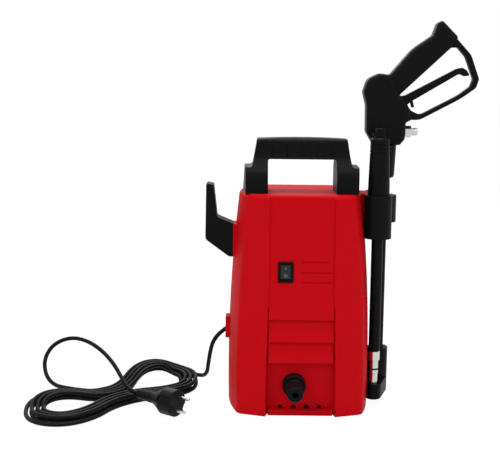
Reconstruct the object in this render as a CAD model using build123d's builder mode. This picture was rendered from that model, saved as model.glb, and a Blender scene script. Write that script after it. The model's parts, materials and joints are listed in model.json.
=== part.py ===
from build123d import *
import os
from math import cos, hypot, pi, radians, sin, sqrt, tan

# Electric pressure washer, in millimetres: X to the right, Y away from the viewer, Z up.
# The origin is on the floor, under the middle of the housing.

# Fits
PRESS_GAP = 0.05
SKIN_GAP = 0.1
RUN_GAP = 0.3
LIFT_GAP = 0.8

# Housing: half widths and half depths at the floor, the waist and the roof
BASE_HALF_WIDTH = 105.6
WAIST_HALF_WIDTH = 104.3
ROOF_HALF_WIDTH = 91.2
BASE_HALF_DEPTH = 102.5
WAIST_HALF_DEPTH = 94.0
ROOF_HALF_DEPTH = 78.5
WAIST_Z = 150.0
ROOF_Z = 320.0
WALL = 3.0
FRONT_FLAT_HALF = 50.0
CHEEK_X = 15.0
CHEEK_Y = 13.0
CORNER_RADIUS = 14.0
ROOF_ROUND = 7.0
SPLIT_Y = 25.0
SEAM_WIDTH = 0.8
SEAM_DEPTH = 0.8

# Front panel: shallow relief, three louvre lips and the deep recess of the water inlet;
# the engraved lines are given by height, middle and length
RELIEF_HALF = 47.0
PANEL_RELIEF = 1.5
LOUVRE_TOP_Z = 160.5
LOUVRE_LIPS_Z = (142.0, 109.5, 79.0)
LIP_SETBACK = 0.8
LOUVRE_STEP = 6.0
RECESS_Y = -88.0
RECESS_DRAFT = 6.0
SILL_HEIGHT = 8.5
SILL_REACH = 8.5
DRAIN_COUNT = 4
DRAIN_PITCH = 19.0
DRAIN_RADIUS = 3.6
LINE_ROWS = ((225.2, 19.0, 37.0), (210.0, 21.0, 44.5), (196.0, 22.0, 42.5))
LINE_HEIGHT = 2.0
LINE_DEPTH = 1.0

# Cooling slots at the back and in the floor
SLOT_LENGTH = 70.0
SLOT_HEIGHT = 4.0
SLOT_PITCH = 11.0
BACK_SLOT_COUNT = 8
BACK_SLOT_Z = 225.0
FLOOR_SLOT_COUNT = 5
FLOOR_SLOT_Y = 68.0

# Screws
SCREW_RADIUS = 2.0
SCREW_HEAD_RADIUS = 4.0
SCREW_HEAD = 3.0
BOSS_RADIUS = 5.5
BOSS_SETBACK = 22.0
HOUSING_SCREWS_Z = (28.0, 165.0, 292.0)
HOUSING_BOSS = 24.0
HOUSING_GRIP = 22.0

# Carry handle
HANDLE_TOP_Z = 398.0
HANDLE_CROWN = 2.0
HANDLE_TOP_HALF = 66.0
GRIP_BOTTOM_Z = 369.0
GRIP_END_HALF = 73.0
SHOULDER_Z = 357.5
SHOULDER_HALF = 84.5
LEG_FRONT_HALF = 82.5
LEG_REAR_HALF = 86.5
LEG_INNER_HALF = 50.0
LEG_FRONT_Y = -56.0
LEG_REAR_Y = 17.0
GRIP_FRONT_Y = -36.0
GRIP_REAR_Y = 3.0
GRIP_ROUND = 9.0
LEG_BEND = 18.0
FINGER_LINES = 5
FINGER_PITCH = 22.0
FINGER_RADIUS = 1.6
HANDLE_SCREW_X = 64.0
HANDLE_SCREW_GRIP = 18.0

# Cord hook
HOOK_Y = -8.0
HOOK_DEPTH = 34.0
HOOK_PAD_X = 100.5
HOOK_PAD_Z = 246.0
HOOK_PAD_HEIGHT = 50.0
HOOK_OUTER_X = 142.0
HOOK_TOP_Z = 331.0
HOOK_TIP = 12.0
HOOK_ROOT_TOP_Z = 271.0
HOOK_NECK_X = 124.5
HOOK_NECK_Z = 281.0
HOOK_LOW_Z = 247.0
HOOK_SCREW_PITCH = 26.0
INNER_BOSS = 10.0

# Spray lance and the wand of the gun, standing on the right flank
LANCE_X = 113.0
LANCE_Y = -38.0
WAND_X = 122.6
WAND_Y = 0.0
TUBE_RADIUS = 8.5
TUBE_BORE = 6.0
LANCE_GRIP_LOW_Z = 273.0
LANCE_GRIP_TOP_Z = 401.6
LANCE_GRIP_WIDE_Z = 326.0
LANCE_GRIP_RADIUS = 15.9
LANCE_GRIP_TOP_RADIUS = 13.9
LANCE_RINGS_Z = (380.0, 386.0, 392.0)
RING_GROOVE = 0.8
BAYONET_LENGTH = 14.0
BAYONET_RADIUS = 7.6
NOZZLE_TOP_Z = 83.0
NOZZLE_RING = 14.0
NOZZLE_RADIUS = 6.6
NOZZLE_SPLIT_Z = 54.0
NOZZLE_SEAL = 2.4
NOZZLE_BORE = 2.0
WAND_COLLAR_RADIUS = 11.0
WAND_COLLAR_LOW_Z = 250.0
WAND_CONE = 22.0

# Holder and cup for the two lances
HOLDER_LOW_Z = 253.0
HOLDER_TOP_Z = 319.0
HOLDER_FACE_X = 108.0
HOLDER_PAD_X = 100.5
HOLDER_FRONT_Y = -25.0
HOLDER_REAR_Y = 22.0
SOCKET_LOW_Z = 274.0
SOCKET_TOP_Z = 314.0
RING_WALL = 3.4
SOCKET_RADIUS = 22.0
CUP_LOW_Z = 9.0
CUP_FLOOR = 4.0
CUP_FRONT_TOP_Z = 33.0
CUP_REAR_TOP_Z = 79.0
CUP_WALL = 3.2
CUP_REAR_RADIUS = 15.5
FLANK_SCREW_Y = -14.0
HOLDER_SCREWS_Z = (264.0, 306.0)
CUP_SCREWS_Z = (24.0, 58.0)
FLANK_SCREW_GRIP = 16.0

# Rocker switch
SWITCH_X = -23.4
SWITCH_Z = 210.5
BEZEL_WIDTH = 22.5
BEZEL_HEIGHT = 30.3
BEZEL_THICK = 2.5
SWITCH_RIM = 1.4
SWITCH_BODY = 24.0
WINDOW_WIDTH = 15.0
WINDOW_HEIGHT = 22.4
WINDOW_DEPTH = 13.0
ROCKER_HALF = 10.0
ROCKER_RISE = 6.0
ROCKER_PIVOT = 3.5
ROCKER_TILT = 7.0
ROCKER_PIN_RADIUS = 1.2
ROCKER_PIN_REACH = 8.7

# Water inlet and outlet
PORT_Z = 44.4
INLET_X = -9.0
INLET_TIP_Y = -139.5
INLET_NUT_RADIUS = 17.0
INLET_NUT = 12.0
INLET_STEP_RADIUS = 13.5
INLET_STEP = 12.0
INLET_RIB_RADIUS = 12.0
INLET_NOSE_RADIUS = 11.5
INLET_BORE = 4.4
INLET_SHANK_RADIUS = 9.0
PORT_DEPTH = 12.0
FILTER_LENGTH = 26.0
FILTER_RADIUS = 6.2
OUTLET_SHANK_RADIUS = 9.5
OUTLET_RADIUS = 11.0
OUTLET_TIP_Y = 126.0
OUTLET_FLANGE = 5.0
OUTLET_SEAT = -1.2
OUTLET_FLANGE_RADIUS = 15.0
OUTLET_BORE = 5.0
THREAD_RELIEF = 1.0
RELIEF_LENGTH = 2.0

# Pump and motor on one upright shaft
SHAFT_Y = 5.0
SHAFT_RADIUS = 6.0
MOUNT_RADIUS = 10.0
MOUNT_SPREAD = 30.0
PUMP_LOW_Z = 26.0
PUMP_HEAD_HALF = 42.0
PUMP_HEAD_HEIGHT = 36.0
PUMP_RADIUS = 40.0
PUMP_HEIGHT = 50.0
PLUNGER_COUNT = 3
PLUNGER_CIRCLE = 20.0
PLUNGER_RADIUS = 6.0
PLUNGER_RISE = 20.0
PLUNGER_CAP = 3.0
PLUNGER_CAP_RADIUS = 9.5
SPRING_RADIUS = 7.6
SPRING_WIRE = 0.8
SPRING_TURNS = 4
DRIVE_WALL = 6.0
PLATE_RADIUS = 33.0
PLATE_TILT = 8.0
PLATE_HUB = 8.0
PLATE_GAP = 0.6
MOTOR_RADIUS = 51.0
CAN_WALL = 2.5
CAN_HEIGHT = 100.0
BRACKET = 8.0
BRACKET_RADIUS = 58.0
STATOR_HEIGHT = 60.0
STATOR_WALL = 6.0
STATOR_RISE = 12.0
ROTOR_RADIUS = 27.6
AIR_GAP = 0.6
POLE_HALF = 12.0
POLE_SHOE = 3.0
COIL_WIDTH = 7.0
COIL_DEPTH = 4.0
COIL_RISE = 8.0
COMMUTATOR_RADIUS = 15.0
COMMUTATOR_HEIGHT = 18.0
BRUSH_LENGTH = 16.0
BRUSH_WIDTH = 6.0
BRUSH_HEIGHT = 9.0
BRUSH_WALL = 1.5
BEARING_RADIUS = 13.0
BOLT_RADIUS = 2.5
FAN_RADIUS = 48.0
FAN_HEIGHT = 14.0
FAN_PLATE = 2.0
FAN_HUB_RADIUS = 12.0
FAN_BLADES = 11
FAN_BLADE = 2.0
STOP_SWITCH = (20.0, 10.0, 16.0)

# Trigger gun: its own outline is measured from the muzzle on the wand's axis
MUZZLE_Z = 389.5
GUN_HALF = 17.0
GUN_GRIP_HALF = 15.0
GUARD_HALF = 7.0
GUN_EDGE = 6.0
GUARD_EDGE = 2.2
BARREL_LENGTH = 49.5
BARREL_TOP_RADIUS = 19.4
BARREL_LOW_RADIUS = 17.4
VALVE_RADIUS = 12.0
VALVE_LOW = 2.0
VALVE_TOP = 46.0
WAND_ENTRY = 8.0
STEM_RADIUS = 2.0
STEM_ENTRY = 16.0
STEM_STROKE = 2.6
STEM_TIP_RADIUS = 0.8
FITTING_RISE = 19.5
FITTING_SHANK_RADIUS = 5.2
FITTING_NUT_RADIUS = 8.8
FITTING_NUT_START = 31.5
FITTING_NUT_END = 40.5
FITTING_THREAD_RADIUS = 6.0
FITTING_END = 50.0
FITTING_BORE = 3.0
TRIGGER_PIVOT = (12.0, 64.0)
TRIGGER_HALF = 5.0
TRIGGER_ROOT_RADIUS = 8.0
TRIGGER_LOBE = 17.0
TRIGGER_LOBE_HALF = 4.0
PIN_RADIUS = 2.0
LOCK_PIVOT = (38.5, 67.5)
LOCK_HALF = 2.4
LOCK_ROOT_RADIUS = 3.0
LOCK_PIN_RADIUS = 1.2
LOCK_LENGTH = 12.5
LOCK_SWEEP = 15.0
GUN_SCREW_GRIP = 9.0

# Mains lead: gland, lead, hank, tail and plug
CORD_RADIUS = 3.2
GLAND_Z = 111.5
GLAND_Y = -8.0
GLAND_FACE_X = 111.0
GLAND_HEIGHT = 33.0
GLAND_DEPTH = 26.0
GLAND_NECK_RADIUS = 6.0
GLAND_NECK = 22.0
GLAND_DROOP = 35.0
GLAND_BORE_X = -105.0
GLAND_BORE_Z = 111.0
GLAND_NUT = 6.0
GLAND_NUT_RADIUS = 10.0
CORD_ENTRY = 8.0
LEAD_RUN_OUT = 18.3
LEAD_RUN_IN = 22.0
TAIL_RUN_OUT = 19.0
TAIL_RUN_IN = 26.0
HANK_X = -275.2
HANK_Y = -36.0
HANK_TURN = 44.0
HANK_LOBE_CENTRE = 96.7
HANK_LOBE_HALF = 55.0
HANK_WAIST_HALF = 35.5
HANK_STEP = 8.2
HANK_WAIST_STEP = 8.7
HANK_LAYER_TURNS = 4
HANK_END_TURN = 7.25
HANK_LAYER_RISE = 8.0
HANK_REST = 0.1
HANK_TIP_RISE = 8.0
HANK_FAR_RISE = 20.0
HANK_LEFT_RISE = 12.0
PLUG_RADIUS = 19.5
PLUG_FACE_X = -178.0
PLUG_FACE_Y = -106.0
PLUG_LENGTH = 75.0
PLUG_BODY = 38.0
PLUG_NECK_RADIUS = 8.5
PLUG_NECK_END = 7.0
PLUG_HEADING = -36.0
PLUG_ROLL = -28.0
PIN_SPACING = 19.0
PLUG_PIN_RADIUS = 2.4
PLUG_PIN_LENGTH = 19.0
PLUG_PIN_ROOT = 10.0


# Helpers

HOUSING_LEVELS = (
    (0.0, BASE_HALF_WIDTH, BASE_HALF_DEPTH),
    (WAIST_Z, WAIST_HALF_WIDTH, WAIST_HALF_DEPTH),
    (ROOF_Z, ROOF_HALF_WIDTH, ROOF_HALF_DEPTH),
)


def through_levels(z, which):
    """Height curve through the three housing levels: which is 1 for half width, 2 for half depth."""
    value = 0.0
    for here in HOUSING_LEVELS:
        weight = 1.0
        for other in HOUSING_LEVELS:
            if other is not here:
                weight *= (z - other[0]) / (here[0] - other[0])
        value += weight * here[which]
    return value


def flank_x(z):
    """Half width of the housing at a height, on its middle plane."""
    return through_levels(z, 1)


def front_y(z):
    """Y of the housing's front face at a height."""
    return -through_levels(z, 2)


def housing_plan(level, inset):
    """Plan of the housing at one level: flat front and back, slanted cheeks, bowed flanks."""
    z, half_width, half_depth = level
    width = half_width - inset
    depth = half_depth - inset
    corner = (width - CHEEK_X, depth - CHEEK_Y)
    with BuildSketch(Plane.XY.offset(z)) as plan:
        with BuildLine():
            for turn in (1, -1):
                Polyline(
                    (-turn * corner[0], -turn * corner[1]),
                    (-turn * FRONT_FLAT_HALF, -turn * depth),
                    (turn * FRONT_FLAT_HALF, -turn * depth),
                    (turn * corner[0], -turn * corner[1]),
                )
                ThreePointArc(
                    (turn * corner[0], -turn * corner[1]),
                    (turn * width, 0),
                    (turn * corner[0], turn * corner[1]),
                )
        make_face()
        bends = [v for v in plan.vertices() if abs(v.X) > FRONT_FLAT_HALF + 1]
        fillet(bends, CORNER_RADIUS)
    return plan.sketch


def housing_form(inset):
    """Smooth body through the housing plans, drawn in by inset."""
    with BuildPart() as form:
        loft([housing_plan(level, inset) for level in HOUSING_LEVELS])
    return form.part


def upright(x, y, z=0.0):
    """Plane whose Z axis points up at a place."""
    return Plane(origin=(x, y, z), x_dir=(1, 0, 0), z_dir=(0, 0, 1))


def along(x, y, z, heading):
    """Plane whose Z axis follows a heading at a place."""
    side = (0, 0, 1) if abs(heading[2]) < 0.9 else (1, 0, 0)
    return Plane(origin=(x, y, z), x_dir=side, z_dir=heading)


def half_section(outline, place):
    """Closed (radius, height) outline on a plane through the Z axis of a place."""
    with BuildSketch(Plane(place.origin, x_dir=place.x_dir, z_dir=-place.y_dir)) as half:
        with BuildLine():
            Polyline(*outline, close=True)
        make_face()
    return half.sketch


def turned(outline, place, mode=Mode.ADD):
    """Turn a (radius, height) outline about the Z axis of a place, in the part being built."""
    revolve(half_section(outline, place), axis=Axis(place.origin, place.z_dir), mode=mode)


def tube_outline(inner, outer, low, top):
    """Outline of a plain sleeve."""
    return [(inner, low), (outer, low), (outer, top), (inner, top)]


def rod(radius, low, top, place, mode=Mode.ADD):
    """Round bar along the Z axis of a place, from low to top."""
    turned(tube_outline(0, radius, low, top), place, mode)


def sleeve(inner, outer, low, top, place, mode=Mode.ADD):
    """Plain sleeve along the Z axis of a place, from low to top."""
    turned(tube_outline(inner, outer, low, top), place, mode)


def block(low, high, mode=Mode.ADD):
    """Square block between two corners."""
    size = [b - a for a, b in zip(low, high)]
    middle = [(a + b) / 2 for a, b in zip(low, high)]
    with Locations(tuple(middle)):
        Box(*size, mode=mode)


def screw(place, grip):
    """Pan-head screw whose head rests on the XY plane of a place and whose shank runs down."""
    shank = SCREW_RADIUS - PRESS_GAP
    turned(
        [
            (0, -grip),
            (shank, -grip),
            (shank, 0),
            (SCREW_HEAD_RADIUS, 0),
            (SCREW_HEAD_RADIUS, SCREW_HEAD / 2),
            (SCREW_HEAD_RADIUS / 2, SCREW_HEAD),
            (0, SCREW_HEAD),
        ],
        place,
    )


def outline_face(points, rounds, plane):
    """Closed outline on a plane, with a radius at the points that rounds names by index."""
    with BuildSketch(plane) as face:
        with BuildLine():
            Polyline(*points, close=True)
        make_face()
        for index, radius in rounds.items():
            near = face.vertices().sort_by_distance(points[index])[0]
            fillet(near, radius)
    return face.sketch


# Shared places

SHAFT = upright(0, SHAFT_Y)
LANCE = upright(LANCE_X, LANCE_Y)
WAND = upright(WAND_X, WAND_Y)
GUN = upright(WAND_X, WAND_Y, MUZZLE_Z)
GUN_FACE = Plane(origin=(WAND_X, WAND_Y, MUZZLE_Z), x_dir=(1, 0, 0), z_dir=(0, -1, 0))
GUN_FITTING = along(WAND_X, WAND_Y, MUZZLE_Z + FITTING_RISE, (1, 0, 0))
INLET = along(INLET_X, RECESS_Y, PORT_Z, (0, -1, 0))
GLAND = along(-GLAND_FACE_X, GLAND_Y, GLAND_Z, (-1, 0, 0))
GLAND_BORE = Plane(
    origin=(GLAND_BORE_X, GLAND_Y, GLAND_BORE_Z),
    x_dir=(0, 1, 0),
    z_dir=(-cos(radians(GLAND_DROOP)), 0, -sin(radians(GLAND_DROOP))),
)
HOLE_RADIUS = SCREW_RADIUS + 0.2
BACK_FACE = Plane.XZ.offset(-SPLIT_Y)
FLOOR_BACK_Y = through_levels(PORT_Z, 2)
OUTLET = along(0, FLOOR_BACK_Y, PORT_Z, (0, 1, 0))

panel_low_y = front_y(LOUVRE_TOP_Z) + PANEL_RELIEF
panel_high_y = front_y(ROOF_Z) + PANEL_RELIEF
panel_slope = (panel_high_y - panel_low_y) / (ROOF_Z - LOUVRE_TOP_Z)
panel_lean = 1 / hypot(1, panel_slope)


def panel_y(z):
    """Y of the flat upper panel at a height."""
    return panel_low_y + panel_slope * (z - LOUVRE_TOP_Z)


SWITCH = Plane(
    origin=(SWITCH_X, panel_y(SWITCH_Z), SWITCH_Z),
    x_dir=(1, 0, 0),
    z_dir=(0, -panel_lean, panel_slope * panel_lean),
)
HOUSING_SPOTS = []
for spot_z in HOUSING_SCREWS_Z:
    for side in (-1, 1):
        HOUSING_SPOTS.append((side * (flank_x(spot_z) - BOSS_SETBACK), spot_z))
HANDLE_SPOTS = []
for spot_x in (-HANDLE_SCREW_X, HANDLE_SCREW_X):
    for spot_y in (GRIP_FRONT_Y, GRIP_REAR_Y):
        HANDLE_SPOTS.append((spot_x, spot_y))
HOOK_SPOTS = [HOOK_PAD_Z - HOOK_SCREW_PITCH / 2, HOOK_PAD_Z + HOOK_SCREW_PITCH / 2]
HOLDER_SEAT_X = flank_x(HOLDER_TOP_Z) - INNER_BOSS
CUP_SEAT_X = flank_x(CUP_LOW_Z) - INNER_BOSS
HOOK_SEAT_X = HOOK_PAD_X - INNER_BOSS
GLAND_SEAT_X = flank_x(GLAND_Z) - INNER_BOSS + 2

# Housing, whole, before it is split into its halves

with BuildPart() as front_relief:
    reach_y = -BASE_HALF_DEPTH - RECESS_DRAFT
    relief_line = [
        (reach_y, ROOF_Z + 1),
        (panel_y(ROOF_Z + 1), ROOF_Z + 1),
        (panel_low_y, LOUVRE_TOP_Z),
    ]
    for lip_z in LOUVRE_LIPS_Z:
        relief_line.append((front_y(lip_z) + LIP_SETBACK, lip_z))
        relief_line.append((front_y(lip_z) + LIP_SETBACK + LOUVRE_STEP, lip_z))
    relief_line[-1] = (RECESS_Y, LOUVRE_LIPS_Z[-1])
    relief_line.append((RECESS_Y, SILL_HEIGHT))
    relief_line.append((RECESS_Y - SILL_REACH, SILL_HEIGHT))
    relief_line.append((RECESS_Y - SILL_REACH, -1))
    relief_line.append((reach_y, -1))
    extrude(outline_face(relief_line, {}, Plane.YZ), amount=RELIEF_HALF, both=True)
    with BuildSketch(Plane.XY.offset(-1)) as draft:
        with BuildLine():
            Polyline(
                (RELIEF_HALF, RECESS_Y),
                (RELIEF_HALF, reach_y),
                (RELIEF_HALF + RECESS_DRAFT, reach_y),
                close=True,
            )
        make_face()
        mirror(about=Plane.YZ)
    extrude(amount=LOUVRE_TOP_Z)
    drain_depth = WALL + 1
    with BuildSketch(Plane.XZ.offset(-RECESS_Y - drain_depth)) as drain_row:
        with Locations((0, SILL_HEIGHT + DRAIN_RADIUS / 2)):
            with GridLocations(DRAIN_PITCH, 1, DRAIN_COUNT, 1):
                Circle(DRAIN_RADIUS)
    extrude(amount=drain_depth)

with BuildPart() as cavity:
    add(housing_form(WALL))
    split(bisect_by=Plane.XY.offset(ROOF_Z - WALL), keep=Keep.BOTTOM)
    split(bisect_by=Plane.XY.offset(WALL), keep=Keep.TOP)
    backing_y = RECESS_Y + WALL
    backing_z = LOUVRE_TOP_Z + WALL
    backing_line = [
        (-2 * BASE_HALF_DEPTH, -1),
        (backing_y, -1),
        (backing_y, backing_z),
        (panel_y(backing_z) + WALL, backing_z),
        (panel_y(ROOF_Z) + WALL, ROOF_Z),
        (-2 * BASE_HALF_DEPTH, ROOF_Z),
    ]
    extrude(
        outline_face(backing_line, {}, Plane.YZ),
        amount=RELIEF_HALF + RECESS_DRAFT + WALL,
        both=True,
        mode=Mode.SUBTRACT,
    )

with BuildPart() as seats:
    for boss_x, boss_z in HOUSING_SPOTS:
        boss = along(boss_x, SPLIT_Y, boss_z, (0, 1, 0))
        rod(BOSS_RADIUS, -HOUSING_BOSS, HOUSING_BOSS, boss)
        outer_x = boss_x / abs(boss_x) * BASE_HALF_WIDTH
        block(
            (min(boss_x, outer_x), SPLIT_Y - HOUSING_BOSS, boss_z - WALL / 2),
            (max(boss_x, outer_x), SPLIT_Y + HOUSING_BOSS, boss_z + WALL / 2),
        )
    seat_low_y = FLANK_SCREW_Y - INNER_BOSS
    seat_high_y = FLANK_SCREW_Y + INNER_BOSS
    block(
        (HOLDER_SEAT_X, seat_low_y, HOLDER_SCREWS_Z[0] - INNER_BOSS),
        (BASE_HALF_WIDTH, seat_high_y, HOLDER_SCREWS_Z[1] + INNER_BOSS),
    )
    block(
        (CUP_SEAT_X, seat_low_y, CUP_SCREWS_Z[0] - INNER_BOSS),
        (BASE_HALF_WIDTH, seat_high_y, CUP_SCREWS_Z[1] + INNER_BOSS),
    )
    block(
        (-BASE_HALF_WIDTH, HOOK_Y - INNER_BOSS, HOOK_SPOTS[0] - INNER_BOSS),
        (-HOOK_SEAT_X, HOOK_Y + INNER_BOSS, HOOK_SPOTS[1] + INNER_BOSS),
    )
    block(
        (-BASE_HALF_WIDTH, GLAND_Y - GLAND_DEPTH / 2, GLAND_Z - GLAND_HEIGHT / 2),
        (-GLAND_SEAT_X, GLAND_Y + GLAND_DEPTH / 2, GLAND_Z + GLAND_HEIGHT / 2),
    )
    add(housing_form(WALL / 3), mode=Mode.INTERSECT)

with BuildPart() as hook_pad:
    block(
        (-HOOK_PAD_X, HOOK_Y - HOOK_DEPTH / 2 - 2, HOOK_PAD_Z - HOOK_PAD_HEIGHT / 2),
        (-HOOK_SEAT_X - WALL, HOOK_Y + HOOK_DEPTH / 2 + 2, HOOK_PAD_Z + HOOK_PAD_HEIGHT / 2),
    )
    fillet(hook_pad.edges().filter_by(Axis.X), WALL)
    fillet(hook_pad.faces().sort_by(Axis.X)[0].edges(), WALL / 3)

ring_bore = LANCE_GRIP_RADIUS + LIFT_GAP
ring_radius = ring_bore + RING_WALL

with BuildPart() as holder_pad:
    block(
        (HOLDER_SEAT_X + WALL, HOLDER_FRONT_Y, HOLDER_LOW_Z + 1),
        (HOLDER_PAD_X, HOLDER_REAR_Y, HOLDER_TOP_Z - 1),
    )
    fillet(holder_pad.edges().filter_by(Axis.X), WALL)
    fillet(holder_pad.faces().sort_by(Axis.X)[-1].edges(), WALL / 3)
    rod(ring_radius + SKIN_GAP, HOLDER_LOW_Z, HOLDER_TOP_Z, LANCE, Mode.SUBTRACT)

with BuildPart() as seam:
    block(
        (-2 * BASE_HALF_WIDTH, SPLIT_Y - SEAM_WIDTH / 2, -1),
        (2 * BASE_HALF_WIDTH, SPLIT_Y + SEAM_WIDTH / 2, ROOF_Z + 1),
    )
    add(housing_form(SEAM_DEPTH), mode=Mode.SUBTRACT)
    block(
        (-BASE_HALF_WIDTH / 2, SPLIT_Y - SEAM_WIDTH, -2),
        (BASE_HALF_WIDTH / 2, SPLIT_Y + SEAM_WIDTH, SEAM_DEPTH),
        Mode.SUBTRACT,
    )

with BuildPart() as housing:
    add(housing_form(0))
    fillet(housing.edges().group_by(Axis.Z)[-1], ROOF_ROUND)
    add(cavity.part, mode=Mode.SUBTRACT)
    add(hook_pad.part)
    add(holder_pad.part)
    add(seats.part)
    add(front_relief.part, mode=Mode.SUBTRACT)
    for line_z, line_x, line_length in LINE_ROWS:
        with BuildSketch(Plane.XZ.offset(-panel_y(line_z) - LINE_DEPTH)) as line_face:
            with Locations((line_x, line_z)):
                SlotOverall(line_length, LINE_HEIGHT)
        extrude(amount=LINE_DEPTH + PANEL_RELIEF + WALL, mode=Mode.SUBTRACT)
    with BuildSketch(BACK_FACE) as back_slots:
        with Locations((0, BACK_SLOT_Z)):
            with GridLocations(1, SLOT_PITCH, 1, BACK_SLOT_COUNT):
                SlotOverall(SLOT_LENGTH, SLOT_HEIGHT)
    extrude(amount=-BASE_HALF_DEPTH, mode=Mode.SUBTRACT)
    with BuildSketch(Plane.XY) as floor_slots:
        with Locations((0, FLOOR_SLOT_Y)):
            with GridLocations(1, SLOT_PITCH, 1, FLOOR_SLOT_COUNT):
                SlotOverall(SLOT_LENGTH, SLOT_HEIGHT)
    extrude(amount=WALL, mode=Mode.SUBTRACT)
    with BuildSketch(SWITCH) as switch_hole:
        Rectangle(BEZEL_WIDTH - 2 * SWITCH_RIM, BEZEL_HEIGHT - 2 * SWITCH_RIM)
    extrude(amount=WALL * 4, both=True, mode=Mode.SUBTRACT)
    rod(INLET_SHANK_RADIUS + SKIN_GAP, -WALL * 6, WALL, INLET, Mode.SUBTRACT)
    rod(OUTLET_SHANK_RADIUS + SKIN_GAP, -WALL * 4, WALL * 4, OUTLET, Mode.SUBTRACT)
    rod(OUTLET_FLANGE_RADIUS + 1, OUTLET_SEAT, WALL * 4, OUTLET, Mode.SUBTRACT)
    rod(GLAND_NECK_RADIUS + SKIN_GAP, -GLAND_NECK * 2, GLAND_NECK, GLAND, Mode.SUBTRACT)
    for hole_z in HOOK_SPOTS:
        hole = along(-HOOK_SEAT_X, HOOK_Y, hole_z, (1, 0, 0))
        rod(HOLE_RADIUS, -INNER_BOSS * 2, INNER_BOSS, hole, Mode.SUBTRACT)
    for hole_x, hole_y in HANDLE_SPOTS:
        rod(HOLE_RADIUS, -WALL * 2, WALL, upright(hole_x, hole_y, ROOF_Z), Mode.SUBTRACT)
    for hole_z in HOLDER_SCREWS_Z:
        hole = along(HOLDER_SEAT_X, FLANK_SCREW_Y, hole_z, (-1, 0, 0))
        rod(HOLE_RADIUS, -INNER_BOSS * 3, INNER_BOSS, hole, Mode.SUBTRACT)
    for hole_z in CUP_SCREWS_Z:
        hole = along(CUP_SEAT_X, FLANK_SCREW_Y, hole_z, (-1, 0, 0))
        rod(HOLE_RADIUS, -INNER_BOSS * 3, INNER_BOSS, hole, Mode.SUBTRACT)
    for hole_x, hole_z in HOUSING_SPOTS:
        hole = along(hole_x, SPLIT_Y, hole_z, (0, 1, 0))
        rod(SCREW_RADIUS, -HOUSING_GRIP, 0, hole, Mode.SUBTRACT)
        rod(HOLE_RADIUS, 0, HOUSING_BOSS, hole, Mode.SUBTRACT)
        rod(SCREW_HEAD_RADIUS + RUN_GAP, HOUSING_BOSS, BASE_HALF_DEPTH, hole, Mode.SUBTRACT)
    add(seam.part, mode=Mode.SUBTRACT)

with BuildPart() as front_housing:
    add(housing.part)
    split(bisect_by=BACK_FACE, keep=Keep.TOP)

with BuildPart() as rear_housing:
    add(housing.part)
    split(bisect_by=BACK_FACE, keep=Keep.BOTTOM)

with BuildPart() as housing_screws:
    for screw_x, screw_z in HOUSING_SPOTS:
        screw(along(screw_x, SPLIT_Y + HOUSING_BOSS, screw_z, (0, 1, 0)), HOUSING_BOSS + HOUSING_GRIP - 2)

# Carry handle: front, plan and side outlines cut into each other

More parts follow.
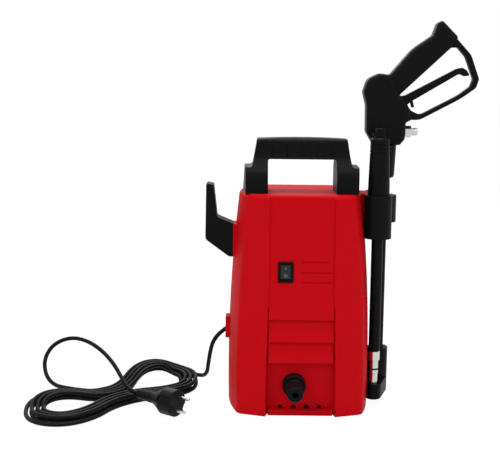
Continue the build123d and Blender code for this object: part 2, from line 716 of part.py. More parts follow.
with BuildPart() as carry_handle:
    with BuildSketch(Plane.XZ) as handle_front:
        with BuildLine():
            Polyline(
                (-HANDLE_TOP_HALF, HANDLE_TOP_Z),
                (-GRIP_END_HALF, SHOULDER_Z),
                (-SHOULDER_HALF, SHOULDER_Z),
                (-LEG_REAR_HALF, ROOF_Z),
                (-LEG_INNER_HALF, ROOF_Z),
                (-LEG_INNER_HALF, GRIP_BOTTOM_Z),
                (LEG_INNER_HALF, GRIP_BOTTOM_Z),
                (LEG_INNER_HALF, ROOF_Z),
                (LEG_REAR_HALF, ROOF_Z),
                (SHOULDER_HALF, SHOULDER_Z),
                (GRIP_END_HALF, SHOULDER_Z),
                (HANDLE_TOP_HALF, HANDLE_TOP_Z),
            )
            ThreePointArc(
                (HANDLE_TOP_HALF, HANDLE_TOP_Z),
                (0, HANDLE_TOP_Z + HANDLE_CROWN),
                (-HANDLE_TOP_HALF, HANDLE_TOP_Z),
            )
        make_face()
        inner = [v for v in handle_front.vertices() if abs(abs(v.X) - LEG_INNER_HALF) < 1]
        fillet([v for v in inner if v.Y > SHOULDER_Z], 3)
        bends = [v for v in handle_front.vertices() if abs(abs(v.X) - GRIP_END_HALF) < 1]
        fillet(bends, 5)
    extrude(amount=ROOF_HALF_DEPTH, both=True)
    with BuildSketch(Plane.XY.offset(ROOF_Z)) as handle_plan:
        with BuildLine():
            Polyline(
                (-LEG_FRONT_HALF, LEG_FRONT_Y),
                (LEG_FRONT_HALF, LEG_FRONT_Y),
                (LEG_REAR_HALF, LEG_REAR_Y),
                (-LEG_REAR_HALF, LEG_REAR_Y),
                close=True,
            )
        make_face()
    extrude(amount=HANDLE_TOP_Z + HANDLE_CROWN - ROOF_Z, mode=Mode.INTERSECT)
    with BuildSketch(Plane.YZ) as handle_side:
        with BuildLine():
            Polyline(
                (LEG_FRONT_Y, ROOF_Z),
                (LEG_REAR_Y, ROOF_Z),
                (LEG_REAR_Y, SHOULDER_Z),
                (GRIP_REAR_Y, GRIP_BOTTOM_Z + 4),
                (GRIP_REAR_Y, HANDLE_TOP_Z + HANDLE_CROWN),
                (GRIP_FRONT_Y, HANDLE_TOP_Z + HANDLE_CROWN),
                (GRIP_FRONT_Y, GRIP_BOTTOM_Z + 4),
                (LEG_FRONT_Y, SHOULDER_Z - 10),
                close=True,
            )
        make_face()
        crown = [v for v in handle_side.vertices() if v.Y > HANDLE_TOP_Z]
        fillet(crown, GRIP_ROUND)
        bends = [v for v in handle_side.vertices() if v.X < GRIP_REAR_Y and ROOF_Z < v.Y < SHOULDER_Z + 20]
        fillet(bends, LEG_BEND)
    extrude(amount=ROOF_HALF_WIDTH, both=True, mode=Mode.INTERSECT)
    for spot_x, spot_y in HANDLE_SPOTS:
        rod(SCREW_RADIUS, 0, HANDLE_SCREW_GRIP, upright(spot_x, spot_y, ROOF_Z), Mode.SUBTRACT)
    for finger in range(FINGER_LINES):
        finger_x = (finger - (FINGER_LINES - 1) / 2) * FINGER_PITCH
        groove = upright(finger_x, GRIP_FRONT_Y - FINGER_RADIUS / 2, GRIP_BOTTOM_Z)
        rod(FINGER_RADIUS, 4, HANDLE_TOP_Z - GRIP_BOTTOM_Z - GRIP_ROUND, groove, Mode.SUBTRACT)

with BuildPart() as handle_screws:
    for screw_x, screw_y in HANDLE_SPOTS:
        place = along(screw_x, screw_y, ROOF_Z - WALL, (0, 0, -1))
        screw(place, WALL + HANDLE_SCREW_GRIP - 2)

# Cord hook on the left flank

skin = housing_form(-SKIN_GAP)

with BuildPart() as cord_hook:
    pad_low_z = HOOK_PAD_Z - HOOK_PAD_HEIGHT / 2
    hook_line = [
        (-HOOK_PAD_X, pad_low_z),
        (-HOOK_PAD_X, HOOK_ROOT_TOP_Z),
        (-HOOK_NECK_X, HOOK_NECK_Z),
        (-HOOK_OUTER_X + HOOK_TIP, HOOK_TOP_Z - 2),
        (-HOOK_OUTER_X + 1, HOOK_TOP_Z),
        (-HOOK_OUTER_X, HOOK_LOW_Z),
        (-HOOK_PAD_X - 6, pad_low_z),
    ]
    hook_rounds = {2: 4.0, 3: 3.0, 4: 2.0, 5: 8.0}
    extrude(outline_face(hook_line, hook_rounds, Plane.XZ.offset(-HOOK_Y)), amount=HOOK_DEPTH / 2, both=True)
    rims = [e for e in cord_hook.edges() if abs(abs(e.center().Y - HOOK_Y) - HOOK_DEPTH / 2) < 0.1]
    fillet([e for e in rims if e.center().X < -HOOK_PAD_X - 0.1], 2.0)
    add(skin, mode=Mode.SUBTRACT)
    for hole_z in HOOK_SPOTS:
        hole = along(-HOOK_PAD_X, HOOK_Y, hole_z, (-1, 0, 0))
        rod(SCREW_RADIUS, -1, FLANK_SCREW_GRIP, hole, Mode.SUBTRACT)

# Holder and cup on the right flank

socket_bore = WAND_COLLAR_RADIUS + LIFT_GAP
cup_bore = TUBE_RADIUS + LIFT_GAP
cup_front_radius = cup_bore + CUP_WALL

with BuildPart() as lance_holder:
    block(
        (HOLDER_PAD_X, HOLDER_FRONT_Y, HOLDER_LOW_Z),
        (HOLDER_FACE_X, HOLDER_REAR_Y, HOLDER_TOP_Z),
    )
    fillet(lance_holder.edges().filter_by(Axis.X), WALL)
    rod(ring_radius, HOLDER_LOW_Z + 1, HOLDER_TOP_Z - 1, LANCE)
    rod(SOCKET_RADIUS, SOCKET_LOW_Z, SOCKET_TOP_Z, WAND)
    rod(ring_bore, HOLDER_LOW_Z - 1, HOLDER_TOP_Z + 1, LANCE, Mode.SUBTRACT)
    rod(socket_bore, HOLDER_LOW_Z - 1, HOLDER_TOP_Z + 1, WAND, Mode.SUBTRACT)
    add(skin, mode=Mode.SUBTRACT)
    for hole_z in HOLDER_SCREWS_Z:
        hole = along(HOLDER_SEAT_X, FLANK_SCREW_Y, hole_z, (1, 0, 0))
        rod(SCREW_RADIUS, 0, INNER_BOSS + FLANK_SCREW_GRIP, hole, Mode.SUBTRACT)

with BuildPart() as lance_cup:
    with BuildSketch(Plane.XY.offset(CUP_LOW_Z)) as cup_base:
        with Locations((LANCE_X, LANCE_Y)):
            Circle(cup_front_radius)
        with Locations((WAND_X, WAND_Y)):
            Circle(CUP_REAR_RADIUS)
        make_hull()
    extrude(amount=CUP_FRONT_TOP_Z - CUP_LOW_Z)
    fillet(lance_cup.edges().group_by(Axis.Z)[0], CUP_WALL)
    rod(CUP_REAR_RADIUS, CUP_FRONT_TOP_Z - CUP_WALL, CUP_REAR_TOP_Z, WAND)
    web_low_y = FLANK_SCREW_Y - INNER_BOSS
    block((CUP_SEAT_X, web_low_y, CUP_LOW_Z), (LANCE_X + 4, WAND_Y + 4, CUP_REAR_TOP_Z - 6))
    block((CUP_SEAT_X, LANCE_Y, CUP_LOW_Z), (WAND_X, WAND_Y, CUP_FRONT_TOP_Z))
    rod(cup_bore, CUP_LOW_Z + CUP_FLOOR, CUP_REAR_TOP_Z + 1, WAND, Mode.SUBTRACT)
    rod(cup_bore, CUP_LOW_Z + CUP_FLOOR, CUP_REAR_TOP_Z + 1, LANCE, Mode.SUBTRACT)
    add(skin, mode=Mode.SUBTRACT)
    for hole_z in CUP_SCREWS_Z:
        hole = along(CUP_SEAT_X, FLANK_SCREW_Y, hole_z, (1, 0, 0))
        rod(SCREW_RADIUS, 0, INNER_BOSS + FLANK_SCREW_GRIP, hole, Mode.SUBTRACT)

with BuildPart() as flank_screws:
    flank_screw = INNER_BOSS + FLANK_SCREW_GRIP - 2
    for screw_z in HOOK_SPOTS:
        screw(along(-HOOK_SEAT_X, HOOK_Y, screw_z, (1, 0, 0)), flank_screw)
    for screw_z in HOLDER_SCREWS_Z:
        screw(along(HOLDER_SEAT_X, FLANK_SCREW_Y, screw_z, (-1, 0, 0)), flank_screw)
    for screw_z in CUP_SCREWS_Z:
        screw(along(CUP_SEAT_X, FLANK_SCREW_Y, screw_z, (-1, 0, 0)), flank_screw)

# Rocker switch on the front panel

ROCKER = SWITCH.offset(BEZEL_THICK - ROCKER_PIVOT)
ROCKER_SIDE = Plane(
    ROCKER.origin,
    x_dir=ROCKER.y_dir * cos(radians(ROCKER_TILT)) - ROCKER.z_dir * sin(radians(ROCKER_TILT)),
    z_dir=ROCKER.x_dir,
)

ROCKER_AXLE = Plane(ROCKER.origin, x_dir=ROCKER.y_dir, z_dir=ROCKER.x_dir)

with BuildPart() as switch_frame:
    with BuildSketch(SWITCH) as bezel:
        RectangleRounded(BEZEL_WIDTH, BEZEL_HEIGHT, 1.5)
    extrude(amount=BEZEL_THICK)
    bezel_face = switch_frame.faces().sort_by(Axis(SWITCH.origin, SWITCH.z_dir))[-1]
    chamfer(bezel_face.edges(), 0.6)
    with BuildSketch(SWITCH) as switch_box:
        Rectangle(
            BEZEL_WIDTH - 2 * SWITCH_RIM - 2 * SKIN_GAP,
            BEZEL_HEIGHT - 2 * SWITCH_RIM - 2 * SKIN_GAP,
        )
    extrude(amount=-SWITCH_BODY)
    with BuildSketch(SWITCH.offset(BEZEL_THICK)) as window:
        Rectangle(WINDOW_WIDTH, WINDOW_HEIGHT)
    extrude(amount=-WINDOW_DEPTH, mode=Mode.SUBTRACT)
    pin_room = ROCKER_PIN_REACH + RUN_GAP
    rod(ROCKER_PIN_RADIUS + PRESS_GAP, -pin_room, pin_room, ROCKER_AXLE, Mode.SUBTRACT)

with BuildPart() as switch_rocker:
    rocker_line = [
        (-ROCKER_HALF, 0),
        (0, -ROCKER_PIVOT),
        (ROCKER_HALF, 0),
        (ROCKER_HALF, ROCKER_RISE - ROCKER_PIVOT / 2),
        (0, ROCKER_RISE - ROCKER_PIVOT),
        (-ROCKER_HALF, ROCKER_RISE - ROCKER_PIVOT / 2),
    ]
    rocker_width = WINDOW_WIDTH - 2 * RUN_GAP
    extrude(outline_face(rocker_line, {4: 20.0}, ROCKER_SIDE), amount=rocker_width / 2, both=True)
    rod(ROCKER_PIN_RADIUS, -ROCKER_PIN_REACH, ROCKER_PIN_REACH, ROCKER_AXLE)

# Water inlet, filter and pressure outlet

pump_front_y = SHAFT_Y - PUMP_HEAD_HALF
pump_back_y = SHAFT_Y + PUMP_HEAD_HALF
inlet_back = RECESS_Y - pump_front_y - PORT_DEPTH
inlet_tip = RECESS_Y - INLET_TIP_Y
filter_bore = FILTER_RADIUS + SKIN_GAP

with BuildPart() as inlet_connector:
    step_end = INLET_NUT + INLET_STEP
    groove = step_end + (inlet_tip - step_end) / 2
    turned(
        [
            (filter_bore, inlet_back),
            (INLET_SHANK_RADIUS, inlet_back),
            (INLET_SHANK_RADIUS, 0),
            (INLET_NUT_RADIUS, 0),
            (INLET_NUT_RADIUS, INLET_NUT - 2),
            (INLET_NUT_RADIUS - 2, INLET_NUT),
            (INLET_STEP_RADIUS, INLET_NUT),
            (INLET_STEP_RADIUS, step_end - 2),
            (INLET_RIB_RADIUS, step_end),
            (INLET_RIB_RADIUS, groove - 2),
            (INLET_NOSE_RADIUS - 1.5, groove - 1),
            (INLET_NOSE_RADIUS - 1.5, groove + 1),
            (INLET_NOSE_RADIUS, groove + 2),
            (INLET_NOSE_RADIUS, inlet_tip - 2),
            (INLET_NOSE_RADIUS - 2, inlet_tip),
            (INLET_BORE, inlet_tip),
            (INLET_BORE, INLET_NUT),
            (filter_bore, INLET_NUT),
        ],
        INLET,
    )

with BuildPart() as inlet_filter:
    turned(
        [
            (0, INLET_NUT - FILTER_LENGTH),
            (FILTER_RADIUS, INLET_NUT - FILTER_LENGTH),
            (FILTER_RADIUS, INLET_NUT),
            (FILTER_RADIUS - 1, INLET_NUT),
            (FILTER_RADIUS - 1, INLET_NUT - FILTER_LENGTH + 1),
            (0, INLET_NUT - FILTER_LENGTH + 1),
        ],
        INLET,
    )

outlet_back = pump_back_y - PORT_DEPTH - FLOOR_BACK_Y
outlet_tip = OUTLET_TIP_Y - FLOOR_BACK_Y
flange_end = OUTLET_SEAT + OUTLET_FLANGE

with BuildPart() as outlet_fitting:
    turned(
        [
            (OUTLET_BORE, outlet_back),
            (OUTLET_SHANK_RADIUS, outlet_back),
            (OUTLET_SHANK_RADIUS, OUTLET_SEAT),
            (OUTLET_FLANGE_RADIUS, OUTLET_SEAT),
            (OUTLET_FLANGE_RADIUS, flange_end),
            (OUTLET_RADIUS - THREAD_RELIEF, flange_end),
            (OUTLET_RADIUS - THREAD_RELIEF, flange_end + RELIEF_LENGTH),
            (OUTLET_RADIUS, flange_end + RELIEF_LENGTH),
            (OUTLET_RADIUS, outlet_tip - 1.5),
            (OUTLET_RADIUS - 1.5, outlet_tip),
            (OUTLET_BORE, outlet_tip),
        ],
        OUTLET,
    )

# Pump under the motor

pump_top_z = PUMP_LOW_Z + PUMP_HEAD_HEIGHT
body_top_z = pump_top_z + PUMP_HEIGHT
cap_z = body_top_z + PLUNGER_RISE
plate_low_z = cap_z + PLUNGER_CAP + PLATE_GAP
plate_rise = 2 * PLATE_RADIUS * tan(radians(PLATE_TILT))
plate_top_z = plate_low_z + plate_rise + PLATE_HUB
bracket_low_z = plate_top_z + 2 * RUN_GAP
can_low_z = bracket_low_z + BRACKET
can_top_z = can_low_z + CAN_HEIGHT
bracket_top_z = can_top_z + BRACKET
drive_radius = MOTOR_RADIUS
drive_bore = drive_radius - DRIVE_WALL
PLUNGER_SPOTS = []
for number in range(PLUNGER_COUNT):
    angle = radians(90 + 360 / PLUNGER_COUNT * number)
    PLUNGER_SPOTS.append((PLUNGER_CIRCLE * cos(angle), SHAFT_Y + PLUNGER_CIRCLE * sin(angle)))
MOUNT_SPOTS = []
for spot_x in (-MOUNT_SPREAD, MOUNT_SPREAD):
    for spot_y in (-MOUNT_SPREAD, MOUNT_SPREAD):
        MOUNT_SPOTS.append((spot_x, SHAFT_Y + spot_y))

with BuildPart() as motor_mounts:
    for spot_x, spot_y in MOUNT_SPOTS:
        waist = MOUNT_RADIUS - 2
        turned(
            [
                (0, WALL),
                (MOUNT_RADIUS, WALL),
                (waist, (WALL + PUMP_LOW_Z) / 2),
                (MOUNT_RADIUS, PUMP_LOW_Z),
                (0, PUMP_LOW_Z),
            ],
            upright(spot_x, spot_y),
        )

with BuildPart() as pump_head:
    block(
        (-PUMP_HEAD_HALF, pump_front_y, PUMP_LOW_Z),
        (PUMP_HEAD_HALF, pump_back_y, pump_top_z),
    )
    fillet(pump_head.edges().filter_by(Axis.Z), 8)
    chamfer(pump_head.edges().group_by(Axis.Z)[0], 2)
    rod(INLET_SHANK_RADIUS + PRESS_GAP, inlet_back, 0, INLET, Mode.SUBTRACT)
    rod(OUTLET_SHANK_RADIUS + PRESS_GAP, outlet_back, 0, OUTLET, Mode.SUBTRACT)

with BuildPart() as pump_body:
    rod(PUMP_RADIUS, pump_top_z, body_top_z - DRIVE_WALL, SHAFT)
    rod(drive_radius, body_top_z - DRIVE_WALL, body_top_z, SHAFT)
    for spot_x, spot_y in PLUNGER_SPOTS:
        place = upright(spot_x, spot_y)
        rod(PLUNGER_RADIUS + PRESS_GAP, pump_top_z + WALL, body_top_z + 1, place, Mode.SUBTRACT)

with BuildPart() as plungers:
    for spot_x, spot_y in PLUNGER_SPOTS:
        place = upright(spot_x, spot_y)
        turned(
            [
                (0, pump_top_z + 2 * WALL),
                (PLUNGER_RADIUS, pump_top_z + 2 * WALL),
                (PLUNGER_RADIUS, cap_z),
                (PLUNGER_CAP_RADIUS, cap_z),
                (PLUNGER_CAP_RADIUS, cap_z + PLUNGER_CAP),
                (0, cap_z + PLUNGER_CAP),
            ],
            place,
        )

with BuildPart() as plunger_springs:
    coil_height = PLUNGER_RISE - 2 * SPRING_WIRE
    for spot_x, spot_y in PLUNGER_SPOTS:
        place = upright(spot_x, spot_y, body_top_z + SPRING_WIRE)
        coil = Helix(coil_height / SPRING_TURNS, coil_height, SPRING_RADIUS, mode=Mode.PRIVATE)
        coil = place.location * coil
        with BuildSketch(Plane(coil @ 0, z_dir=coil % 0)) as wire:
            Circle(SPRING_WIRE)
        sweep(wire.sketch, path=coil, is_frenet=True)

with BuildPart() as drive_housing:
    sleeve(drive_bore, drive_radius, body_top_z, bracket_low_z, SHAFT)

with BuildPart() as pressure_switch:
    length, depth, height = STOP_SWITCH
    block(
        (PUMP_HEAD_HALF, SHAFT_Y - depth / 2, pump_top_z - height),
        (PUMP_HEAD_HALF + depth, SHAFT_Y + length - depth / 2, pump_top_z),
    )
    rod(2, 0, 4, along(PUMP_HEAD_HALF + depth / 2, SHAFT_Y, pump_top_z, (0, 0, 1)))

# Motor: still pieces

stator_low_z = can_low_z + STATOR_RISE
stator_top_z = stator_low_z + STATOR_HEIGHT
stator_radius = MOTOR_RADIUS - CAN_WALL
stator_bore = stator_radius - STATOR_WALL
shoe_inner = ROTOR_RADIUS + AIR_GAP
shoe_outer = shoe_inner + POLE_SHOE
bolt_circle = MOTOR_RADIUS + BOLT_RADIUS + SKIN_GAP
BOLT_SPOTS = []
for number in range(4):
    angle = radians(45 + 90 * number)
    BOLT_SPOTS.append((bolt_circle * cos(angle), SHAFT_Y + bolt_circle * sin(angle)))
comm_low_z = can_top_z - STATOR_RISE - COMMUTATOR_HEIGHT + 6
comm_top_z = comm_low_z + COMMUTATOR_HEIGHT
brush_z = (comm_low_z + comm_top_z) / 2
brush_start = COMMUTATOR_RADIUS + RUN_GAP
fan_low_z = bracket_top_z + 4

with BuildPart() as lower_bracket:
    sleeve(SHAFT_RADIUS + 4, BRACKET_RADIUS, bracket_low_z, can_low_z, SHAFT)
    rod(BEARING_RADIUS, bracket_low_z + 2, can_low_z + 1, SHAFT, Mode.SUBTRACT)
    for spot_x, spot_y in BOLT_SPOTS:
        rod(BOLT_RADIUS + SKIN_GAP, bracket_low_z - 1, can_low_z + 1, upright(spot_x, spot_y), Mode.SUBTRACT)

with BuildPart() as upper_bracket:
    sleeve(SHAFT_RADIUS + 4, BRACKET_RADIUS, can_top_z, bracket_top_z, SHAFT)
    rod(BEARING_RADIUS, can_top_z - 1, bracket_top_z - 2, SHAFT, Mode.SUBTRACT)
    for spot_x, spot_y in BOLT_SPOTS:
        rod(BOLT_RADIUS + SKIN_GAP, can_top_z - 1, bracket_top_z + 1, upright(spot_x, spot_y), Mode.SUBTRACT)

with BuildPart() as motor_can:
    sleeve(stator_radius + PRESS_GAP, MOTOR_RADIUS, can_low_z, can_top_z, SHAFT)
    sleeve(stator_radius - 2, stator_radius + PRESS_GAP, stator_low_z - 4, stator_low_z, SHAFT)

with BuildPart() as motor_bolts:
    for spot_x, spot_y in BOLT_SPOTS:
        place = upright(spot_x, spot_y)
        rod(BOLT_RADIUS, bracket_low_z, bracket_top_z, place)
        rod(BOLT_RADIUS * 2, bracket_top_z, bracket_top_z + BOLT_RADIUS, place)

with BuildPart() as motor_stator:
    sleeve(stator_bore, stator_radius, stator_low_z, stator_top_z, SHAFT)
    for side in (-1, 1):
        block(
            (min(side * shoe_inner, side * (stator_bore + 1)), SHAFT_Y - POLE_HALF, stator_low_z),
            (max(side * shoe_inner, side * (stator_bore + 1)), SHAFT_Y + POLE_HALF, stator_top_z),
        )
    with BuildSketch(Plane.XY.offset(stator_low_z)) as shoes:
        with Locations((0, SHAFT_Y)):
            Circle(shoe_outer)
            Circle(shoe_inner, mode=Mode.SUBTRACT)
            Rectangle(POLE_HALF, 4 * POLE_HALF + 2 * shoe_outer, mode=Mode.SUBTRACT)
    extrude(amount=STATOR_HEIGHT)
    rod(shoe_inner, stator_low_z - 1, stator_top_z + 1, SHAFT, Mode.SUBTRACT)

with BuildPart() as field_coils:
    coil_inner_y = POLE_HALF + SKIN_GAP
    coil_x = shoe_outer + SKIN_GAP
    for side in (-1, 1):
        low_x = min(side * coil_x, side * (coil_x + COIL_DEPTH))
        high_x = max(side * coil_x, side * (coil_x + COIL_DEPTH))
        block(
            (low_x, SHAFT_Y - coil_inner_y - COIL_WIDTH, stator_low_z - COIL_RISE),
            (high_x, SHAFT_Y + coil_inner_y + COIL_WIDTH, stator_top_z + COIL_RISE),
        )
        block(
            (low_x, SHAFT_Y - coil_inner_y, stator_low_z),
            (high_x, SHAFT_Y + coil_inner_y, stator_top_z),
            Mode.SUBTRACT,
        )

with BuildPart() as motor_bearings:
    bearing = BEARING_RADIUS - PRESS_GAP
    race = SHAFT_RADIUS + PRESS_GAP
    sleeve(race, bearing, bracket_low_z + 2, can_low_z, SHAFT)
    sleeve(race, bearing, can_top_z, bracket_top_z - 2, SHAFT)

with BuildPart() as brush_holders:
    half = BRUSH_WIDTH / 2 + SKIN_GAP
    for side in (-1, 1):
        ends = (SHAFT_Y + side * (brush_start + 2), SHAFT_Y + side * (brush_start + BRUSH_LENGTH + 4))
        block(
            (-half - BRUSH_WALL, min(ends), brush_z - BRUSH_HEIGHT / 2 - BRUSH_WALL),
            (half + BRUSH_WALL, max(ends), can_top_z),
        )
        block(
            (-half, min(ends) - 1, brush_z - BRUSH_HEIGHT / 2 - SKIN_GAP),
            (half, max(ends) + 1, brush_z + BRUSH_HEIGHT / 2 + SKIN_GAP),
            Mode.SUBTRACT,
        )

with BuildPart() as carbon_brushes:
    for side in (-1, 1):
        ends = (SHAFT_Y + side * brush_start, SHAFT_Y + side * (brush_start + BRUSH_LENGTH))
        block(
            (-BRUSH_WIDTH / 2, min(ends), brush_z - BRUSH_HEIGHT / 2 - SKIN_GAP),
            (BRUSH_WIDTH / 2, max(ends), brush_z + BRUSH_HEIGHT / 2 - SKIN_GAP),
        )
    rod(brush_start, comm_low_z, comm_top_z, SHAFT, Mode.SUBTRACT)

# Motor: turning pieces

fan_top_z = fan_low_z + FAN_HEIGHT
hub_bore = SHAFT_RADIUS + PRESS_GAP

with BuildPart() as motor_shaft:
    rod(SHAFT_RADIUS, plate_low_z + plate_rise, fan_top_z + 4, SHAFT)

with BuildPart() as rotor_core:
    sleeve(hub_bore, ROTOR_RADIUS, stator_low_z, stator_top_z, SHAFT)
    with BuildSketch(Plane.XY.offset(stator_low_z)) as rotor_slots:
        with Locations((0, SHAFT_Y)):
            with PolarLocations(ROTOR_RADIUS - 4, 12):
                Rectangle(9, 3)
    extrude(amount=STATOR_HEIGHT, mode=Mode.SUBTRACT)

with BuildPart() as commutator:
    sleeve(hub_bore, COMMUTATOR_RADIUS, comm_low_z, comm_top_z, SHAFT)

with BuildPart() as cooling_fan:
    rod(FAN_RADIUS, fan_low_z, fan_low_z + FAN_PLATE, SHAFT)
    rod(FAN_HUB_RADIUS, fan_low_z, fan_top_z, SHAFT)
    with BuildSketch(Plane.XY.offset(fan_low_z)) as blades:
        with Locations((0, SHAFT_Y)):
            with PolarLocations((FAN_RADIUS + FAN_HUB_RADIUS) / 2 - 1, FAN_BLADES):
                Rectangle(FAN_RADIUS - FAN_HUB_RADIUS, FAN_BLADE)
    extrude(amount=FAN_HEIGHT - 2)
    rod(hub_bore, fan_low_z - 1, fan_top_z + 1, SHAFT, Mode.SUBTRACT)

with BuildPart() as wobble_plate:
    rod(PLATE_RADIUS, plate_low_z, plate_top_z, SHAFT)
    slope = Plane(
        origin=(-PLATE_RADIUS, SHAFT_Y, plate_low_z),
        x_dir=(cos(radians(PLATE_TILT)), 0, sin(radians(PLATE_TILT))),
        z_dir=(-sin(radians(PLATE_TILT)), 0, cos(radians(PLATE_TILT))),
    )
    split(bisect_by=slope, keep=Keep.TOP)
    rod(hub_bore, plate_low_z + plate_rise, plate_top_z + 1, SHAFT, Mode.SUBTRACT)

# Spray lance

grip_bore = TUBE_RADIUS + PRESS_GAP
tube_top_z = LANCE_GRIP_TOP_Z - 8
nozzle_low_z = CUP_LOW_Z + CUP_FLOOR + RUN_GAP

with BuildPart() as lance_tube:
    sleeve(TUBE_BORE, TUBE_RADIUS, NOZZLE_TOP_Z, tube_top_z, LANCE)

with BuildPart() as lance_grip:
    grip_line = [
        (grip_bore, LANCE_GRIP_LOW_Z),
        (TUBE_RADIUS + 2, LANCE_GRIP_LOW_Z),
        (LANCE_GRIP_RADIUS - 0.6, LANCE_GRIP_LOW_Z + 8),
        (LANCE_GRIP_RADIUS, LANCE_GRIP_WIDE_Z),
    ]
    grip_slope = (LANCE_GRIP_TOP_RADIUS - LANCE_GRIP_RADIUS) / (LANCE_GRIP_TOP_Z - LANCE_GRIP_WIDE_Z)
    for ring_z in LANCE_RINGS_Z:
        ring_edge = LANCE_GRIP_RADIUS + grip_slope * (ring_z - LANCE_GRIP_WIDE_Z)
        grip_line += [
            (ring_edge, ring_z - 1),
            (ring_edge - RING_GROOVE, ring_z - 0.5),
            (ring_edge - RING_GROOVE, ring_z + 0.5),
            (ring_edge, ring_z + 1),
        ]
    grip_line += [
        (LANCE_GRIP_TOP_RADIUS, LANCE_GRIP_TOP_Z - 2),
        (LANCE_GRIP_TOP_RADIUS - 2, LANCE_GRIP_TOP_Z),
        (grip_bore, LANCE_GRIP_TOP_Z),
    ]
    turned(grip_line, LANCE)

with BuildPart() as lance_bayonet:
    tip_z = LANCE_GRIP_TOP_Z + BAYONET_LENGTH
    neck_z = LANCE_GRIP_TOP_Z + BAYONET_LENGTH * 0.6
    turned(
        [
            (NOZZLE_BORE, tube_top_z),
            (TUBE_RADIUS, tube_top_z),
            (TUBE_RADIUS, LANCE_GRIP_TOP_Z + 2),
            (BAYONET_RADIUS, LANCE_GRIP_TOP_Z + 2),
            (BAYONET_RADIUS, neck_z),
            (BAYONET_RADIUS - 1.2, neck_z),
            (BAYONET_RADIUS - 1.2, neck_z + 2),
            (BAYONET_RADIUS, neck_z + 2),
            (BAYONET_RADIUS, tip_z - 1),
            (BAYONET_RADIUS - 1, tip_z),
            (NOZZLE_BORE, tip_z),
        ],
        LANCE,
    )
    lug_z = LANCE_GRIP_TOP_Z + BAYONET_LENGTH * 0.35
    block(
        (LANCE_X - BAYONET_RADIUS - 3, LANCE_Y - 2.5, lug_z - 2),
        (LANCE_X - BAYONET_RADIUS + 1, LANCE_Y + 2.5, lug_z + 2),
    )
    block(
        (LANCE_X + BAYONET_RADIUS - 1, LANCE_Y - 2.5, lug_z - 2),
        (LANCE_X + BAYONET_RADIUS + 3, LANCE_Y + 2.5, lug_z + 2),
    )

with BuildPart() as nozzle_body:
    ring_z = NOZZLE_TOP_Z - NOZZLE_RING
    turned(
        [
            (NOZZLE_BORE, NOZZLE_SPLIT_Z),
            (NOZZLE_RADIUS - 2, NOZZLE_SPLIT_Z),
            (NOZZLE_RADIUS - 2, NOZZLE_SPLIT_Z + NOZZLE_SEAL),
            (NOZZLE_RADIUS, NOZZLE_SPLIT_Z + NOZZLE_SEAL),
            (NOZZLE_RADIUS, ring_z - 1),
            (TUBE_RADIUS, ring_z),
            (TUBE_RADIUS, NOZZLE_TOP_Z - 1),
            (TUBE_RADIUS - 1, NOZZLE_TOP_Z),
            (NOZZLE_BORE, NOZZLE_TOP_Z),
        ],
        LANCE,
    )

with BuildPart() as nozzle_seal:
    low_z = NOZZLE_SPLIT_Z + RUN_GAP / 2
    sleeve(NOZZLE_RADIUS - 2, NOZZLE_RADIUS - 0.4, low_z, NOZZLE_SPLIT_Z + NOZZLE_SEAL, LANCE)

with BuildPart() as nozzle_tip:
    turned(
        [
            (NOZZLE_BORE, nozzle_low_z),
            (NOZZLE_RADIUS - 1.5, nozzle_low_z),
            (NOZZLE_RADIUS - 0.5, nozzle_low_z + 4),
            (NOZZLE_RADIUS - 0.5, NOZZLE_SPLIT_Z - RUN_GAP - 6),
            (NOZZLE_RADIUS, NOZZLE_SPLIT_Z - RUN_GAP - 5),
            (NOZZLE_RADIUS, NOZZLE_SPLIT_Z - RUN_GAP),
            (NOZZLE_BORE, NOZZLE_SPLIT_Z - RUN_GAP),
        ],
        LANCE,
    )
    with BuildSketch(upright(LANCE_X, LANCE_Y, nozzle_low_z + 6)) as flats:
        with PolarLocations(NOZZLE_RADIUS + 1, 2):
            Rectangle(4, 2 * NOZZLE_RADIUS)
    extrude(amount=12, mode=Mode.SUBTRACT)

# Wand of the gun

with BuildPart() as wand_tube:
    sleeve(TUBE_BORE, TUBE_RADIUS, CUP_FRONT_TOP_Z, MUZZLE_Z + VALVE_LOW + WAND_ENTRY, WAND)

with BuildPart() as wand_nozzle:
    turned(
        [
            (NOZZLE_BORE, nozzle_low_z),
            (NOZZLE_RADIUS - 2, nozzle_low_z),
            (NOZZLE_RADIUS, nozzle_low_z + 3),
            (TUBE_RADIUS - 1, CUP_FRONT_TOP_Z),
            (NOZZLE_BORE, CUP_FRONT_TOP_Z),
        ],
        WAND,
    )

# Trigger gun: shells, then what they hold

pivot_x, pivot_z = TRIGGER_PIVOT
lock_x, lock_z = LOCK_PIVOT
GUN_SPOTS = ((-20.0, 82.0), (-19.0, 14.0), (24.0, 44.0), (40.0, 118.0), (84.0, 158.0))

body_line = [
    (-16, 0),
    (23, 0),
    (30, 9),
    (31, 33),
    (40, 38),
    (33, 59),
    (21, 74),
    (6, 103),
    (-10, 105),
    (-27, 97),
    (-33, 78),
    (-28, 58),
    (-27.5, 19),
]
body_rounds = {1: 4.0, 2: 5.0, 8: 10.0, 9: 14.0, 10: 12.0, 11: 14.0, 12: 10.0}
grip_outline = [
    (-4, 92),
    (10, 108),
    (38, 141),
    (67, 161),
    (73, 178),
    (80, 182.5),
    (104.5, 158),
    (94, 143),
    (21, 74),
]
grip_rounds = {2: 60.0, 3: 8.0, 4: 4.0, 5: 4.0, 6: 4.0}
guard_outer = [
    (20, 45),
    (34, 37),
    (52, 37),
    (112, 69),
    (134, 85),
    (138, 98),
    (125, 133),
    (100, 160),
    (60, 130),
]
guard_outer_rounds = {2: 24.0, 3: 90.0, 4: 9.0, 5: 6.0, 6: 18.0}
